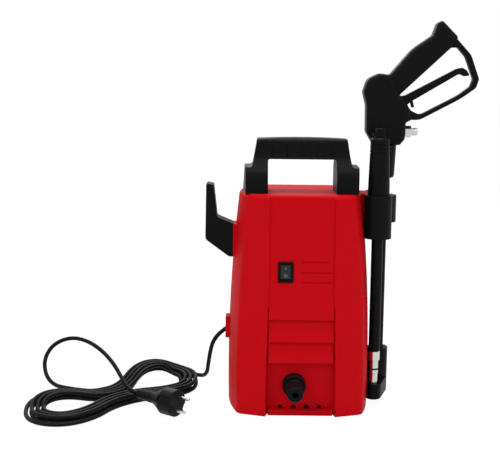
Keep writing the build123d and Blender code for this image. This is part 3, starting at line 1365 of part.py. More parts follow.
guard_inner = [
    (21, 73),
    (33, 59),
    (39, 51),
    (52, 44.5),
    (108, 74),
    (125, 87),
    (129, 98),
    (116.5, 130),
    (104, 144),
    (94, 143),
]
guard_inner_rounds = {2: 6.0, 3: 12.0, 4: 80.0, 5: 5.0, 6: 5.0, 7: 12.0, 8: 5.0}


def rim_edges(form, half):
    """Edges round both side faces of a gun piece that is twice half thick."""
    return [e for e in form.edges() if abs(abs(e.center().Y - WAND_Y) - half) < 0.1]


with BuildPart() as gun_grip_form:
    extrude(outline_face(grip_outline, grip_rounds, GUN_FACE), amount=GUN_GRIP_HALF, both=True)
    fillet(rim_edges(gun_grip_form, GUN_GRIP_HALF), GUN_EDGE)

with BuildPart() as gun_guard_form:
    extrude(outline_face(guard_outer, guard_outer_rounds, GUN_FACE), amount=GUARD_HALF, both=True)
    extrude(
        outline_face(guard_inner, guard_inner_rounds, GUN_FACE),
        amount=GUARD_HALF,
        both=True,
        mode=Mode.SUBTRACT,
    )
    fillet(rim_edges(gun_guard_form, GUARD_HALF), GUARD_EDGE)

with BuildPart() as gun_form:
    extrude(outline_face(body_line, body_rounds, GUN_FACE), amount=GUN_HALF, both=True)
    fillet(rim_edges(gun_form, GUN_HALF), GUN_EDGE)
    add(gun_grip_form.part)
    add(gun_guard_form.part)
    rod(VALVE_RADIUS + SKIN_GAP, VALVE_LOW, VALVE_TOP, GUN, Mode.SUBTRACT)
    rod(TUBE_RADIUS + SKIN_GAP, -1, VALVE_LOW, GUN, Mode.SUBTRACT)
    rod(STEM_RADIUS + RUN_GAP, VALVE_TOP, pivot_z, GUN, Mode.SUBTRACT)
    rod(FITTING_SHANK_RADIUS + SKIN_GAP, 0, FITTING_END, GUN_FITTING, Mode.SUBTRACT)
    slot_line = [
        (pivot_x - TRIGGER_LOBE - 4, pivot_z - TRIGGER_ROOT_RADIUS - 3),
        (lock_x, pivot_z - TRIGGER_ROOT_RADIUS - 3),
        (lock_x, lock_z + 4),
        (lock_x - 8, lock_z + 17),
        (pivot_x - 2, pivot_z + 14),
        (pivot_x - TRIGGER_LOBE - 4, pivot_z + TRIGGER_ROOT_RADIUS),
    ]
    extrude(
        outline_face(slot_line, {}, GUN_FACE),
        amount=TRIGGER_HALF + RUN_GAP,
        both=True,
        mode=Mode.SUBTRACT,
    )
    pin_place = along(WAND_X + pivot_x, WAND_Y, MUZZLE_Z + pivot_z, (0, 1, 0))
    rod(PIN_RADIUS + PRESS_GAP, -GUN_HALF + 4, GUN_HALF - 4, pin_place, Mode.SUBTRACT)
    for spot_x, spot_z in GUN_SPOTS:
        hole = along(WAND_X + spot_x, WAND_Y, MUZZLE_Z + spot_z, (0, 1, 0))
        seat = GUN_HALF - GUN_EDGE - 2
        rod(SCREW_RADIUS, -GUN_SCREW_GRIP, seat, hole, Mode.SUBTRACT)
        rod(SCREW_HEAD_RADIUS + SKIN_GAP, seat, GUN_HALF + 1, hole, Mode.SUBTRACT)

GUN_MIDDLE = Plane.XZ.offset(-WAND_Y)

with BuildPart() as gun_shell_front:
    add(gun_form.part)
    split(bisect_by=GUN_MIDDLE, keep=Keep.TOP)

with BuildPart() as gun_shell_rear:
    add(gun_form.part)
    split(bisect_by=GUN_MIDDLE, keep=Keep.BOTTOM)

with BuildPart() as gun_screws:
    for spot_x, spot_z in GUN_SPOTS:
        seat = WAND_Y + GUN_HALF - GUN_EDGE - 2
        place = along(WAND_X + spot_x, seat, MUZZLE_Z + spot_z, (0, 1, 0))
        screw(place, GUN_HALF - GUN_EDGE - 2 + GUN_SCREW_GRIP - 1)

with BuildPart() as trigger_pin:
    rod(PIN_RADIUS, -GUN_HALF + 4, GUN_HALF - 4, pin_place)

with BuildPart() as gun_trigger:
    arm_line = [
        (pivot_x, pivot_z - TRIGGER_ROOT_RADIUS + 1),
        (lock_x - 6, pivot_z - 5),
        (lock_x, lock_z - 3.5),
        (109, 106),
        (116, 102),
        (124, 103),
        (120, 110),
        (113, 115),
        (104, 112.5),
        (30, 73),
        (pivot_x, pivot_z + TRIGGER_ROOT_RADIUS - 1),
    ]
    arm_rounds = {1: 6.0, 3: 8.0, 4: 3.0, 5: 1.5, 6: 8.0, 7: 8.0}
    extrude(outline_face(arm_line, arm_rounds, GUN_FACE), amount=TRIGGER_HALF, both=True)
    rod(TRIGGER_ROOT_RADIUS, -TRIGGER_HALF, TRIGGER_HALF, pin_place)
    block(
        (WAND_X + pivot_x - TRIGGER_LOBE, WAND_Y - TRIGGER_HALF, MUZZLE_Z + pivot_z - TRIGGER_LOBE_HALF),
        (WAND_X + pivot_x, WAND_Y + TRIGGER_HALF, MUZZLE_Z + pivot_z + TRIGGER_LOBE_HALF),
    )
    rod(PIN_RADIUS + 2 * PRESS_GAP, -TRIGGER_HALF - 1, TRIGGER_HALF + 1, pin_place, Mode.SUBTRACT)
    lock_slot = [
        (lock_x - LOCK_ROOT_RADIUS - RUN_GAP, lock_z + LOCK_ROOT_RADIUS + RUN_GAP),
        (lock_x - LOCK_ROOT_RADIUS - RUN_GAP, lock_z - LOCK_SWEEP),
        (lock_x + LOCK_SWEEP, lock_z - LOCK_SWEEP),
        (lock_x + LOCK_SWEEP, lock_z + LOCK_ROOT_RADIUS + RUN_GAP),
    ]
    extrude(
        outline_face(lock_slot, {}, GUN_FACE),
        amount=LOCK_HALF + RUN_GAP,
        both=True,
        mode=Mode.SUBTRACT,
    )
    lock_place = along(WAND_X + lock_x, WAND_Y, MUZZLE_Z + lock_z, (0, 1, 0))
    rod(LOCK_PIN_RADIUS, -TRIGGER_HALF, TRIGGER_HALF, lock_place)

with BuildPart() as trigger_lock:
    lock_line = [
        (lock_x - 2, lock_z),
        (lock_x + 1.5, lock_z - LOCK_LENGTH),
        (lock_x + 5.5, lock_z - LOCK_LENGTH + 1),
        (lock_x + 2.4, lock_z),
    ]
    extrude(outline_face(lock_line, {1: 1.0, 2: 1.0}, GUN_FACE), amount=LOCK_HALF, both=True)
    rod(LOCK_ROOT_RADIUS, -LOCK_HALF, LOCK_HALF, lock_place)
    rod(LOCK_PIN_RADIUS + 2 * PRESS_GAP, -LOCK_HALF - 1, LOCK_HALF + 1, lock_place, Mode.SUBTRACT)

with BuildPart() as gun_valve_body:
    rod(VALVE_RADIUS, VALVE_LOW, VALVE_TOP, GUN)
    rod(TUBE_RADIUS + PRESS_GAP, VALVE_LOW - 1, VALVE_LOW + WAND_ENTRY, GUN, Mode.SUBTRACT)
    stem_room = VALVE_TOP - STEM_ENTRY - STEM_STROKE - 2
    rod(STEM_RADIUS + 2 * PRESS_GAP, stem_room, VALVE_TOP + 1, GUN, Mode.SUBTRACT)
    rod(FITTING_SHANK_RADIUS + PRESS_GAP, FITTING_BORE, VALVE_RADIUS + 1, GUN_FITTING, Mode.SUBTRACT)

with BuildPart() as valve_stem:
    stem_top = pivot_z - TRIGGER_LOBE_HALF - RUN_GAP
    turned(
        [
            (0, VALVE_TOP - STEM_ENTRY),
            (STEM_RADIUS, VALVE_TOP - STEM_ENTRY),
            (STEM_RADIUS, stem_top - STEM_TIP_RADIUS),
            (STEM_TIP_RADIUS, stem_top),
            (0, stem_top),
        ],
        GUN,
    )

with BuildPart() as gun_inlet_nipple:
    relief_end = FITTING_NUT_END + RELIEF_LENGTH
    turned(
        [
            (FITTING_BORE, FITTING_BORE),
            (FITTING_SHANK_RADIUS, FITTING_BORE),
            (FITTING_SHANK_RADIUS, relief_end),
            (FITTING_THREAD_RADIUS, relief_end),
            (FITTING_THREAD_RADIUS, FITTING_END - 1),
            (FITTING_THREAD_RADIUS - 1, FITTING_END),
            (FITTING_BORE, FITTING_END),
        ],
        GUN_FITTING,
    )
    with BuildSketch(GUN_FITTING.offset(FITTING_NUT_START)) as hex_nut:
        RegularPolygon(FITTING_NUT_RADIUS, 6)
        Circle(FITTING_SHANK_RADIUS - 1, mode=Mode.SUBTRACT)
    extrude(amount=FITTING_NUT_END - FITTING_NUT_START)

with BuildPart() as gun_barrel_sleeve:
    low = -BARREL_LENGTH
    turned(
        [
            (grip_bore, WAND_COLLAR_LOW_Z - MUZZLE_Z),
            (TUBE_RADIUS + 0.6, WAND_COLLAR_LOW_Z - MUZZLE_Z),
            (WAND_COLLAR_RADIUS, WAND_COLLAR_LOW_Z + WAND_CONE - MUZZLE_Z),
            (WAND_COLLAR_RADIUS, low),
            (BARREL_LOW_RADIUS - 4, low),
            (BARREL_LOW_RADIUS - 1, low + 1.5),
            (BARREL_LOW_RADIUS, low + 5),
            (BARREL_TOP_RADIUS, 0),
            (grip_bore, 0),
        ],
        GUN,
    )

# Mains lead: gland and its nut

with BuildPart() as cord_gland:
    half_depth = GLAND_DEPTH / 2
    half_height = GLAND_HEIGHT / 2
    block(
        (-GLAND_FACE_X, GLAND_Y - half_depth, GLAND_Z - half_height),
        (-GLAND_SEAT_X, GLAND_Y + half_depth, GLAND_Z + half_height),
    )
    fillet(cord_gland.edges().filter_by(Axis.X), WALL)
    fillet(cord_gland.faces().sort_by(Axis.X)[0].edges(), WALL / 2)
    add(skin, mode=Mode.SUBTRACT)
    rod(GLAND_NECK_RADIUS, -GLAND_NECK, -WALL, GLAND)
    rod(CORD_RADIUS + PRESS_GAP, 0, 2 * GLAND_NECK, GLAND_BORE, Mode.SUBTRACT)

with BuildPart() as gland_nut:
    nut_low = GLAND_SEAT_X - GLAND_FACE_X
    with BuildSketch(GLAND.offset(nut_low)) as nut_face:
        RegularPolygon(GLAND_NUT_RADIUS, 6)
        Circle(GLAND_NECK_RADIUS + PRESS_GAP, mode=Mode.SUBTRACT)
    extrude(amount=-GLAND_NUT)

# Mains lead: hank, wound in two layers that spiral in and out again

HANK = Plane(
    origin=(HANK_X, HANK_Y, CORD_RADIUS + HANK_REST),
    x_dir=(cos(radians(HANK_TURN)), sin(radians(HANK_TURN)), 0),
    z_dir=(0, 0, 1),
)


def hank_station(turns):
    """Place and heading of the hank's cord at a count of turns, in eighths."""
    drawn_in = min(turns, 2 * HANK_LAYER_TURNS - turns)
    half = HANK_LOBE_HALF - HANK_STEP * drawn_in
    waist = HANK_WAIST_HALF - HANK_WAIST_STEP * drawn_in
    tip = HANK_LOBE_CENTRE + half
    spots = (
        (tip, 0, HANK_TIP_RISE, 0, 1),
        (HANK_LOBE_CENTRE, half, HANK_FAR_RISE, -1, 0),
        (0, waist, 0, -1, 0),
        (-HANK_LOBE_CENTRE, half, HANK_LEFT_RISE, -1, 0),
        (-tip, 0, 0, 0, -1),
        (-HANK_LOBE_CENTRE, -half, 0, 1, 0),
        (0, -waist, 0, 1, 0),
        (HANK_LOBE_CENTRE, -half, 0, 1, 0),
    )
    u, v, lift, along_u, along_v = spots[round(turns * 8) % 8]
    climb = min(max((turns - HANK_LAYER_TURNS + 0.25) / 0.5, 0), 1)
    rise = HANK_LAYER_RISE * climb * climb * (3 - 2 * climb)
    heading = HANK.x_dir * along_u + HANK.y_dir * along_v
    return HANK.from_local_coords(Vector(u, v, rise + lift)), heading


def biarc(start, leave, end, arrive):
    """Middle point, and the heading there, of two arcs with equal tangents between headed points."""
    gap = end - start
    both = leave + arrive
    spread = 2 * (1 - leave.dot(arrive))
    reach = gap.dot(both)
    square = gap.dot(gap)
    if spread < 1e-9:
        length = square / (4 * gap.dot(arrive))
    else:
        length = (-reach + sqrt(reach * reach + spread * square)) / spread
    first = start + leave * length
    last = end - arrive * length
    return (first + last) * 0.5, last - first


hank_marks = [hank_station(step / 8) for step in range(round(HANK_END_TURN * 8) + 1)]
with BuildLine() as hank_line:
    for (start, leave), (end, arrive) in zip(hank_marks, hank_marks[1:]):
        middle, across = biarc(start, leave, end, arrive)
        TangentArc(start, middle, tangent=leave)
        TangentArc(middle, end, tangent=across)

hank_path = hank_line.wire()

with BuildPart() as cord_hank:
    with BuildSketch(Plane(hank_path @ 0, z_dir=hank_path % 0)) as hank_section:
        Circle(CORD_RADIUS)
    sweep(hank_section.sketch, path=hank_path)


def least_gap(path, apart):
    """Least gap between the skins of stretches of one cord that lie more than apart along it."""
    count = round(path.length / CORD_RADIUS)
    spots = [tuple(path.position_at(step / count)) for step in range(count + 1)]
    stride = round(apart / CORD_RADIUS)
    nearest = path.length
    for index, (x, y, z) in enumerate(spots):
        for other_x, other_y, other_z in spots[index + stride:]:
            away = (x - other_x) ** 2 + (y - other_y) ** 2 + (z - other_z) ** 2
            nearest = min(nearest, away)
    return sqrt(nearest) - 2 * CORD_RADIUS


print("hank least gap", round(least_gap(hank_path, 10 * CORD_RADIUS), 2))

# Plug, lying on the floor

plug_heading = Vector(cos(radians(PLUG_HEADING)), sin(radians(PLUG_HEADING)), 0)
PLUG = Plane(
    origin=(PLUG_FACE_X, PLUG_FACE_Y, PLUG_RADIUS),
    x_dir=(0, 0, 1),
    z_dir=plug_heading,
)
PLUG_ROLLED = Plane(
    origin=PLUG.origin,
    x_dir=PLUG.x_dir * cos(radians(PLUG_ROLL)) + PLUG.y_dir * sin(radians(PLUG_ROLL)),
    z_dir=PLUG.z_dir,
)

with BuildPart() as plug_body:
    turned(
        [
            (0, -PLUG_LENGTH),
            (PLUG_NECK_END - 1, -PLUG_LENGTH),
            (PLUG_NECK_END, -PLUG_LENGTH + 1),
            (PLUG_NECK_RADIUS, -PLUG_BODY - 6),
            (PLUG_NECK_RADIUS + 2, -PLUG_BODY),
            (PLUG_RADIUS - 2.5, -PLUG_BODY + 12),
            (PLUG_RADIUS, -PLUG_BODY + 16),
            (PLUG_RADIUS, -1),
            (PLUG_RADIUS - 1, 0),
            (0, 0),
        ],
        PLUG,
    )
    with BuildSketch(PLUG_ROLLED) as earth_notches:
        with PolarLocations(PLUG_RADIUS, 2, start_angle=90):
            Rectangle(6, 9)
    extrude(amount=-PLUG_BODY + 14, mode=Mode.SUBTRACT)
    rod(CORD_RADIUS + PRESS_GAP, -PLUG_LENGTH - 1, -PLUG_LENGTH + CORD_ENTRY, PLUG, Mode.SUBTRACT)
    with BuildSketch(PLUG_ROLLED) as pin_holes:
        with GridLocations(PIN_SPACING, 1, 2, 1):
            Circle(PLUG_PIN_RADIUS + PRESS_GAP)
    extrude(amount=-PLUG_PIN_ROOT, mode=Mode.SUBTRACT)

with BuildPart() as plug_pins:
    with BuildSketch(PLUG_ROLLED.offset(-PLUG_PIN_ROOT)) as pin_faces:
        with GridLocations(PIN_SPACING, 1, 2, 1):
            Circle(PLUG_PIN_RADIUS)
    extrude(amount=PLUG_PIN_ROOT + PLUG_PIN_LENGTH)
    pin_ends = plug_pins.faces().filter_by(GeomType.PLANE).sort_by(Axis(PLUG.origin, PLUG.z_dir))[-2:]
    fillet(pin_ends.edges(), PLUG_PIN_RADIUS / 2)

# Mains lead: free stretches, as straight runs joined by large arcs


def cord_path(points):
    """Path of a cord through its points, with each corner rounded as far as its runs allow."""
    radii = []
    for before, here, after in zip(points, points[1:], points[2:]):
        run_in = here - before
        run_out = after - here
        half_turn = radians(run_in.get_angle(run_out)) / 2
        radii.append(0.45 * min(run_in.length, run_out.length) / tan(half_turn))
    print("cord radii", [round(radius, 1) for radius in radii])
    with BuildLine() as path:
        FilletPolyline(*points, radius=radii)
    return path.wire()


def report_tube(name, piece, length):
    """Print a cord's volume beside its section times its length."""
    share = piece.volume / (pi * CORD_RADIUS**2 * length)
    print(name, "length", round(length, 1), "volume", round(share, 4))


hank_start, hank_into = hank_marks[0]
hank_end, hank_out = hank_marks[-1]
plug_entry = PLUG.from_local_coords(Vector(0, 0, -PLUG_LENGTH + CORD_ENTRY))

LEAD_POINTS = [
    GLAND_BORE.origin,
    GLAND_BORE.origin + GLAND_BORE.z_dir * LEAD_RUN_OUT,
    Vector(-131, -3, 84),
    Vector(-135.5, 9, 63),
    Vector(-138.5, 22, 42),
    Vector(-141, 36, 22),
    hank_start - hank_into * LEAD_RUN_IN,
    hank_start,
]
TAIL_POINTS = [
    hank_end,
    hank_end + hank_out * TAIL_RUN_OUT,
    Vector(-330, -34.5, 15),
    Vector(-352.5, -28.5, 16),
    Vector(-375, -9, 14),
    Vector(-392, 10, 24),
    Vector(-397, 26, 46),
    Vector(-384, 37, 67),
    Vector(-357, 40, 77.5),
    Vector(-328, 28, 75),
    Vector(-302, 10, 63.5),
    Vector(-281, -13, 49),
    Vector(-267, -33.5, 33.5),
    plug_entry - plug_heading * TAIL_RUN_IN,
    plug_entry,
]

lead_path = cord_path(LEAD_POINTS)
tail_path = cord_path(TAIL_POINTS)

with BuildPart() as cord_lead:
    with BuildSketch(Plane(lead_path @ 0, z_dir=lead_path % 0)) as lead_section:
        Circle(CORD_RADIUS)
    sweep(lead_section.sketch, path=lead_path)

with BuildPart() as cord_tail:
    with BuildSketch(Plane(tail_path @ 0, z_dir=tail_path % 0)) as tail_section:
        Circle(CORD_RADIUS)
    sweep(tail_section.sketch, path=tail_path)

report_tube("lead", cord_lead.part, lead_path.length)
report_tube("hank", cord_hank.part, hank_path.length)
report_tube("tail", cord_tail.part, tail_path.length)

# Write every piece

PIECES = {
    "front_housing": front_housing,
    "rear_housing": rear_housing,
    "housing_screws": housing_screws,
    "carry_handle": carry_handle,
    "handle_screws": handle_screws,
    "cord_hook": cord_hook,
    "lance_holder": lance_holder,
    "lance_cup": lance_cup,
    "flank_screws": flank_screws,
    "switch_frame": switch_frame,
    "switch_rocker": switch_rocker,
    "inlet_connector": inlet_connector,
    "inlet_filter": inlet_filter,
    "outlet_fitting": outlet_fitting,
    "motor_mounts": motor_mounts,
    "pump_head": pump_head,
    "pump_body": pump_body,
    "plungers": plungers,
    "plunger_springs": plunger_springs,
    "drive_housing": drive_housing,
    "pressure_switch": pressure_switch,
    "lower_bracket": lower_bracket,
    "upper_bracket": upper_bracket,
    "motor_can": motor_can,
    "motor_bolts": motor_bolts,
    "motor_stator": motor_stator,
    "field_coils": field_coils,
    "motor_bearings": motor_bearings,
    "brush_holders": brush_holders,
    "carbon_brushes": carbon_brushes,
    "motor_shaft": motor_shaft,
    "rotor_core": rotor_core,
    "commutator": commutator,
    "cooling_fan": cooling_fan,
    "wobble_plate": wobble_plate,
    "lance_tube": lance_tube,
    "lance_grip": lance_grip,
    "lance_bayonet": lance_bayonet,
    "nozzle_body": nozzle_body,
    "nozzle_seal": nozzle_seal,
    "nozzle_tip": nozzle_tip,
    "wand_tube": wand_tube,
    "wand_nozzle": wand_nozzle,
    "gun_shell_front": gun_shell_front,
    "gun_shell_rear": gun_shell_rear,
    "gun_screws": gun_screws,
    "trigger_pin": trigger_pin,
    "gun_trigger": gun_trigger,
    "trigger_lock": trigger_lock,
    "gun_valve_body": gun_valve_body,
    "valve_stem": valve_stem,
    "gun_inlet_nipple": gun_inlet_nipple,
    "gun_barrel_sleeve": gun_barrel_sleeve,
    "cord_gland": cord_gland,
    "gland_nut": gland_nut,
    "cord_lead": cord_lead,
    "cord_hank": cord_hank,
    "cord_tail": cord_tail,
    "plug_body": plug_body,
    "plug_pins": plug_pins,
}

os.makedirs("parts", exist_ok=True)
for label, piece in PIECES.items():
    piece.part.label = label
    export_step(piece.part, f"parts/{label}.step")
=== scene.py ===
"""Looks of an upright electric pressure washer: finishes, mains lead, switch marks, threads and stage."""

import json
import math

import bpy
from mathutils import Matrix, Vector


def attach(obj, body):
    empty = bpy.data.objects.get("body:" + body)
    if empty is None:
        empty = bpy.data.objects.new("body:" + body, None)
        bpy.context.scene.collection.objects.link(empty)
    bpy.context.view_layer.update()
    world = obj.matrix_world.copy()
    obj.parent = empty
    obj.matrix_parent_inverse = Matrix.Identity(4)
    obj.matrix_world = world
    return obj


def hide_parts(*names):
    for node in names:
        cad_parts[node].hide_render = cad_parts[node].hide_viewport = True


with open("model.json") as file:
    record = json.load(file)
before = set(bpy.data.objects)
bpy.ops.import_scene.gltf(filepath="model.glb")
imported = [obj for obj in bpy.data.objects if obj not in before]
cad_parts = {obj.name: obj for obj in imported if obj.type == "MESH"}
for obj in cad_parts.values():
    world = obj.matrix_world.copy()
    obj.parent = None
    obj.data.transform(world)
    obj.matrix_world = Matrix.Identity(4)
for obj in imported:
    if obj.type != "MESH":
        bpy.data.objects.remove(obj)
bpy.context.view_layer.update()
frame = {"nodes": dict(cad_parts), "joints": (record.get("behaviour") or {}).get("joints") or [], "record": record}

bl_info = {
    "name": "Pressure Washer Looks",
    "version": (1, 0, 0),
    "blender": (4, 5, 0),
    "location": "3D View > Sidebar > Washer",
    "description": "Finishes, mains lead, switch marks, threads and stage of a pressure washer",
    "category": "Object",
}

MM = 0.001
JOINTS = {joint["name"]: joint for joint in frame["joints"]}

# Mains lead, in millimetres: the points of its free stretches and the driving sizes of its hank
CORD_RADIUS = 3.2
GLAND_BORE = (-105, -8, 111)
GLAND_DROOP = math.radians(35)
LEAD_POINTS = (
    (-131, -3, 84),
    (-135.5, 9, 63),
    (-138.5, 22, 42),
    (-141, 36, 22),
)
TAIL_POINTS = (
    (-330, -34.5, 15),
    (-352.5, -28.5, 16),
    (-375, -9, 14),
    (-392, 10, 24),
    (-397, 26, 46),
    (-384, 37, 67),
    (-357, 40, 77.5),
    (-328, 28, 75),
    (-302, 10, 63.5),
    (-281, -13, 49),
    (-267, -33.5, 33.5),
)
HANK_MIDDLE = (-275.2, -36, 3.3)
HANK_TURN = math.radians(44)
HANK_LOBE_CENTRE = 96.7
HANK_LOBE_HALF = 55.0
HANK_WAIST_HALF = 35.5
HANK_STEP = 8.2
HANK_WAIST_STEP = 8.7
HANK_LAYER_TURNS = 4
HANK_END_TURN = 7.25
HANK_LAYER_RISE = 8.0
HANK_TIP_RISE = 8.0
HANK_FAR_RISE = 20.0
HANK_LEFT_RISE = 12.0
HANK_CLIMB_BEFORE = 0.25
HANK_CLIMB_SPAN = 0.5
STATIONS = 8
PARALLEL = 1e-9
LEAD_RUN_OUT = 18.3
LEAD_RUN_IN = 22
TAIL_RUN_OUT = 19
TAIL_RUN_IN = 26

# Mains lead as a curve: how finely it is drawn
CORD_DIVISIONS = 8
CORD_ROUNDNESS = 4

# Plug, in millimetres
PLUG_FACE = (-178, -106, 19.5)
PLUG_HEADING = math.radians(-36)
PLUG_LENGTH = 75
PLUG_ENTRY = 8
RELIEF_BACK = 70
RELIEF_PITCH = 4.4
RELIEF_RADIUS = 6.9
RELIEF_FLARE = 0.2
RELIEF_RIDGE = 0.8

# Threads, in millimetres: first crest, count, pitch, radius and ridge; then how rings are drawn
GUN_FITTING_Z = 409.0
GUN_THREAD = (166.0, 4, 1.6, 6.0, 0.5)
OUTLET_Z = 44.4
OUTLET_THREAD = (108.5, 8, 2.0, 11.0, 0.6)
CREST_SHARE = 1.2
RIDGE_STRETCH = 1.25
RING_SEGMENTS = 48
MARK_SEGMENTS = 40
WIRE_SEGMENTS = 10

# Rocker marks, in millimetres
PANEL_SLOPE = 0.0923
ROCKER_TILT = math.radians(7)
ROCKER_DIP = 2.5
ROCKER_CANT = math.atan(0.175)
MARK_OUT = 5.4

# Stage, in metres and watts: name, place, size and power of each lamp
LAMPS = (
    ("key", (-1.6, -2.0, 2.4), 1.8, 24),
    ("fill", (2.0, -1.6, 1.4), 1.6, 8),
    ("top", (0.1, 0.2, 2.6), 1.6, 40),
    ("back", (-0.6, 2.2, 1.6), 1.4, 12),
)
LAMP_TARGET = (0, 0, 0.25)
FLOOR_DROP = 0.0005
FLOOR_GLOW = 1.05
FLOOR_GLOW_SHARE = 0.9
SKY_LIGHT = 0.55
SKY_SEEN_EXTRA = 0.45
SENSOR_WIDTH = 36.0


class WasherSizes(bpy.types.PropertyGroup):
    """Sizes of the added pieces."""

    mark_length: bpy.props.FloatProperty(
        name="Mark length", description="Length of the stroke on the rocker",
        default=4.4 * MM, min=0.0, unit="LENGTH",
    )
    mark_width: bpy.props.FloatProperty(
        name="Mark width", description="Width of the marks' strokes",
        default=0.8 * MM, min=0.0, unit="LENGTH",
    )
    mark_height: bpy.props.FloatProperty(
        name="Mark height", description="How far the printed marks stand proud",
        default=0.12 * MM, min=0.0, unit="LENGTH",
    )
    relief_ribs: bpy.props.IntProperty(
        name="Relief ribs", description="Rings on the plug's strain relief", default=6, min=1,
    )


class WasherColours(bpy.types.PropertyGroup):
    """Colours of the finishes, as sRGB hex values."""

    housing: bpy.props.StringProperty(
        name="Housing", description="Red of the moulded housing", default="BC0410",
    )
    black: bpy.props.StringProperty(
        name="Black", description="Black of handle, gun and holders", default="0B0B0C",
    )
    cord: bpy.props.StringProperty(
        name="Lead", description="Black of the mains lead and plug", default="0A0A0B",
    )
    rocker: bpy.props.StringProperty(
        name="Rocker", description="Dark grey of the switch's rocker", default="1B1B1D",
    )
    mark: bpy.props.StringProperty(
        name="Marks", description="Print on the rocker", default="77716F",
    )
    floor: bpy.props.StringProperty(
        name="Floor", description="Plain pale floor", default="F4F4F4",
    )


class WasherStage(bpy.types.PropertyGroup):
    """Camera and light of the stage."""

    lens: bpy.props.FloatProperty(
        name="Lens", description="Focal length on a 36 mm frame", default=71.0, min=1.0,
    )
    place: bpy.props.FloatVectorProperty(
        name="Camera", description="Place of the camera", default=(-0.0754, -1.4765, 0.4863),
        subtype="TRANSLATION", unit="LENGTH",
    )
    pitch: bpy.props.FloatProperty(
        name="Pitch", description="How far the camera looks down",
        default=math.radians(8.5), subtype="ANGLE",
    )
    roll: bpy.props.FloatProperty(
        name="Roll", description="How far the camera is rolled", default=math.radians(0.6), subtype="ANGLE",
    )
    floor_size: bpy.props.FloatProperty(
        name="Floor size", description="Edge of the square floor", default=60.0, min=1.0, unit="LENGTH",
    )


# Materials


def linear(hex_colour):
    """Linear RGBA of an sRGB hex value."""
    channels = [int(hex_colour[i:i + 2], 16) / 255 for i in (0, 2, 4)]
    curved = [c / 12.92 if c <= 0.04045 else ((c + 0.055) / 1.055) ** 2.4 for c in channels]
    return (*curved, 1.0)


def per_mm(size):
    """Texture scale whose pattern repeats about every size millimetres on Object coordinates."""
    return 1 / (size * MM)


def add_node(tree, kind, values=None, links=None, **settings):
    """Add a node with its settings, its socket values and its incoming links."""
    node = tree.nodes.new(kind)
    for key, value in settings.items():
        setattr(node, key, value)
    for socket, value in (values or {}).items():
        node.inputs[socket].default_value = value
    for socket, source in (links or {}).items():
        tree.links.new(source, node.inputs[socket])
    return node


def surface(name, values):
    """New material with a principled surface; returns it, its tree and the surface node."""
    material = bpy.data.materials.new(name)
    material.use_nodes = True
    tree = material.node_tree
    shader = tree.nodes["Principled BSDF"]
    for socket, value in values.items():
        shader.inputs[socket].default_value = value
    return material, tree, shader


def add_grain(tree, shader, grain_mm, strength, height_mm):
    """Give a surface a fine moulded or cast grain."""
    place = add_node(tree, "ShaderNodeTexCoord")
    grain = add_node(
        tree, "ShaderNodeTexNoise", {"Scale": per_mm(grain_mm), "Detail": 3.0},
        {"Vector": place.outputs["Object"]},
    )
    bump = add_node(
        tree, "ShaderNodeBump", {"Strength": strength, "Distance": height_mm * MM},
        {"Height": grain.outputs["Fac"]},
    )
    tree.links.new(bump.outputs["Normal"], shader.inputs["Normal"])


def moulded_red_abs(colours):
    """Moulded ABS: saturated red, mostly matt, with a moulded grain drawn coarser than real."""
    material, tree, shader = surface(
        "moulded_red_abs",
        {"Base Color": linear(colours.housing), "Roughness": 0.58, "Specular IOR Level": 0.05},
    )
    add_grain(tree, shader, grain_mm=1.1, strength=0.12, height_mm=0.06)
    return material


def black_polypropylene(colours):
    """Moulded polypropylene: near black, half matt, with a fine grain."""
    material, tree, shader = surface(
        "black_polypropylene",
        {"Base Color": linear(colours.black), "Roughness": 0.46, "Specular IOR Level": 0.07},
    )
    add_grain(tree, shader, grain_mm=0.9, strength=0.15, height_mm=0.06)
    return material


def black_pvc_sheath(colours):
    """Extruded PVC of lead and plug: black with a low, even gloss."""
    return surface(
        "black_pvc_sheath",
        {"Base Color": linear(colours.cord), "Roughness": 0.42, "Specular IOR Level": 0.1},
    )[0]


def rocker_nylon(colours):
    """Nylon rocker: dark grey, smoother than the frame around it."""
    return surface(
        "rocker_nylon",
        {"Base Color": linear(colours.rocker), "Roughness": 0.33, "Specular IOR Level": 0.25},
    )[0]


def printed_mark(colours):
    """Pad-printed ink: flat, mid grey."""
    return surface(
        "printed_mark",
        {"Base Color": linear(colours.mark), "Roughness": 0.6},
    )[0]


def nickel_plate():
    """Nickel-plated brass: bright, with a faint, fine grain."""
    material, tree, shader = surface(
        "nickel_plate",
        {"Base Color": linear("C9C8C4"), "Metallic": 1.0, "Roughness": 0.26},
    )
    add_grain(tree, shader, grain_mm=0.8, strength=0.06, height_mm=0.03)
    return material


def zinc_screw_steel():
    """Zinc-plated screw steel: cool grey with a soft shine."""
    return surface(
        "zinc_screw_steel",
        {"Base Color": linear("A9ABAD"), "Metallic": 1.0, "Roughness": 0.38},
    )[0]


def ground_steel():
    """Ground steel of shaft, pins and plungers: bright and even."""
    return surface(
        "ground_steel",
        {"Base Color": linear("C4C5C7"), "Metallic": 1.0, "Roughness": 0.22},
    )[0]


def turned_brass():
    """Turned brass: warm yellow, lightly dulled."""
    return surface(
        "turned_brass",
        {"Base Color": linear("C9A35A"), "Metallic": 1.0, "Roughness": 0.3},
    )[0]


def cast_aluminium():
    """Die-cast aluminium: pale grey with a dry, grainy skin."""
    material, tree, shader = surface(
        "cast_aluminium",
        {"Base Color": linear("B4B5B6"), "Metallic": 1.0, "Roughness": 0.48},
    )
    add_grain(tree, shader, grain_mm=1.4, strength=0.25, height_mm=0.1)
    return material


def painted_can():
    """Dark stoved paint on the motor's can."""
    return surface(
        "painted_can",
        {"Base Color": linear("2B2C2E"), "Roughness": 0.4},
    )[0]


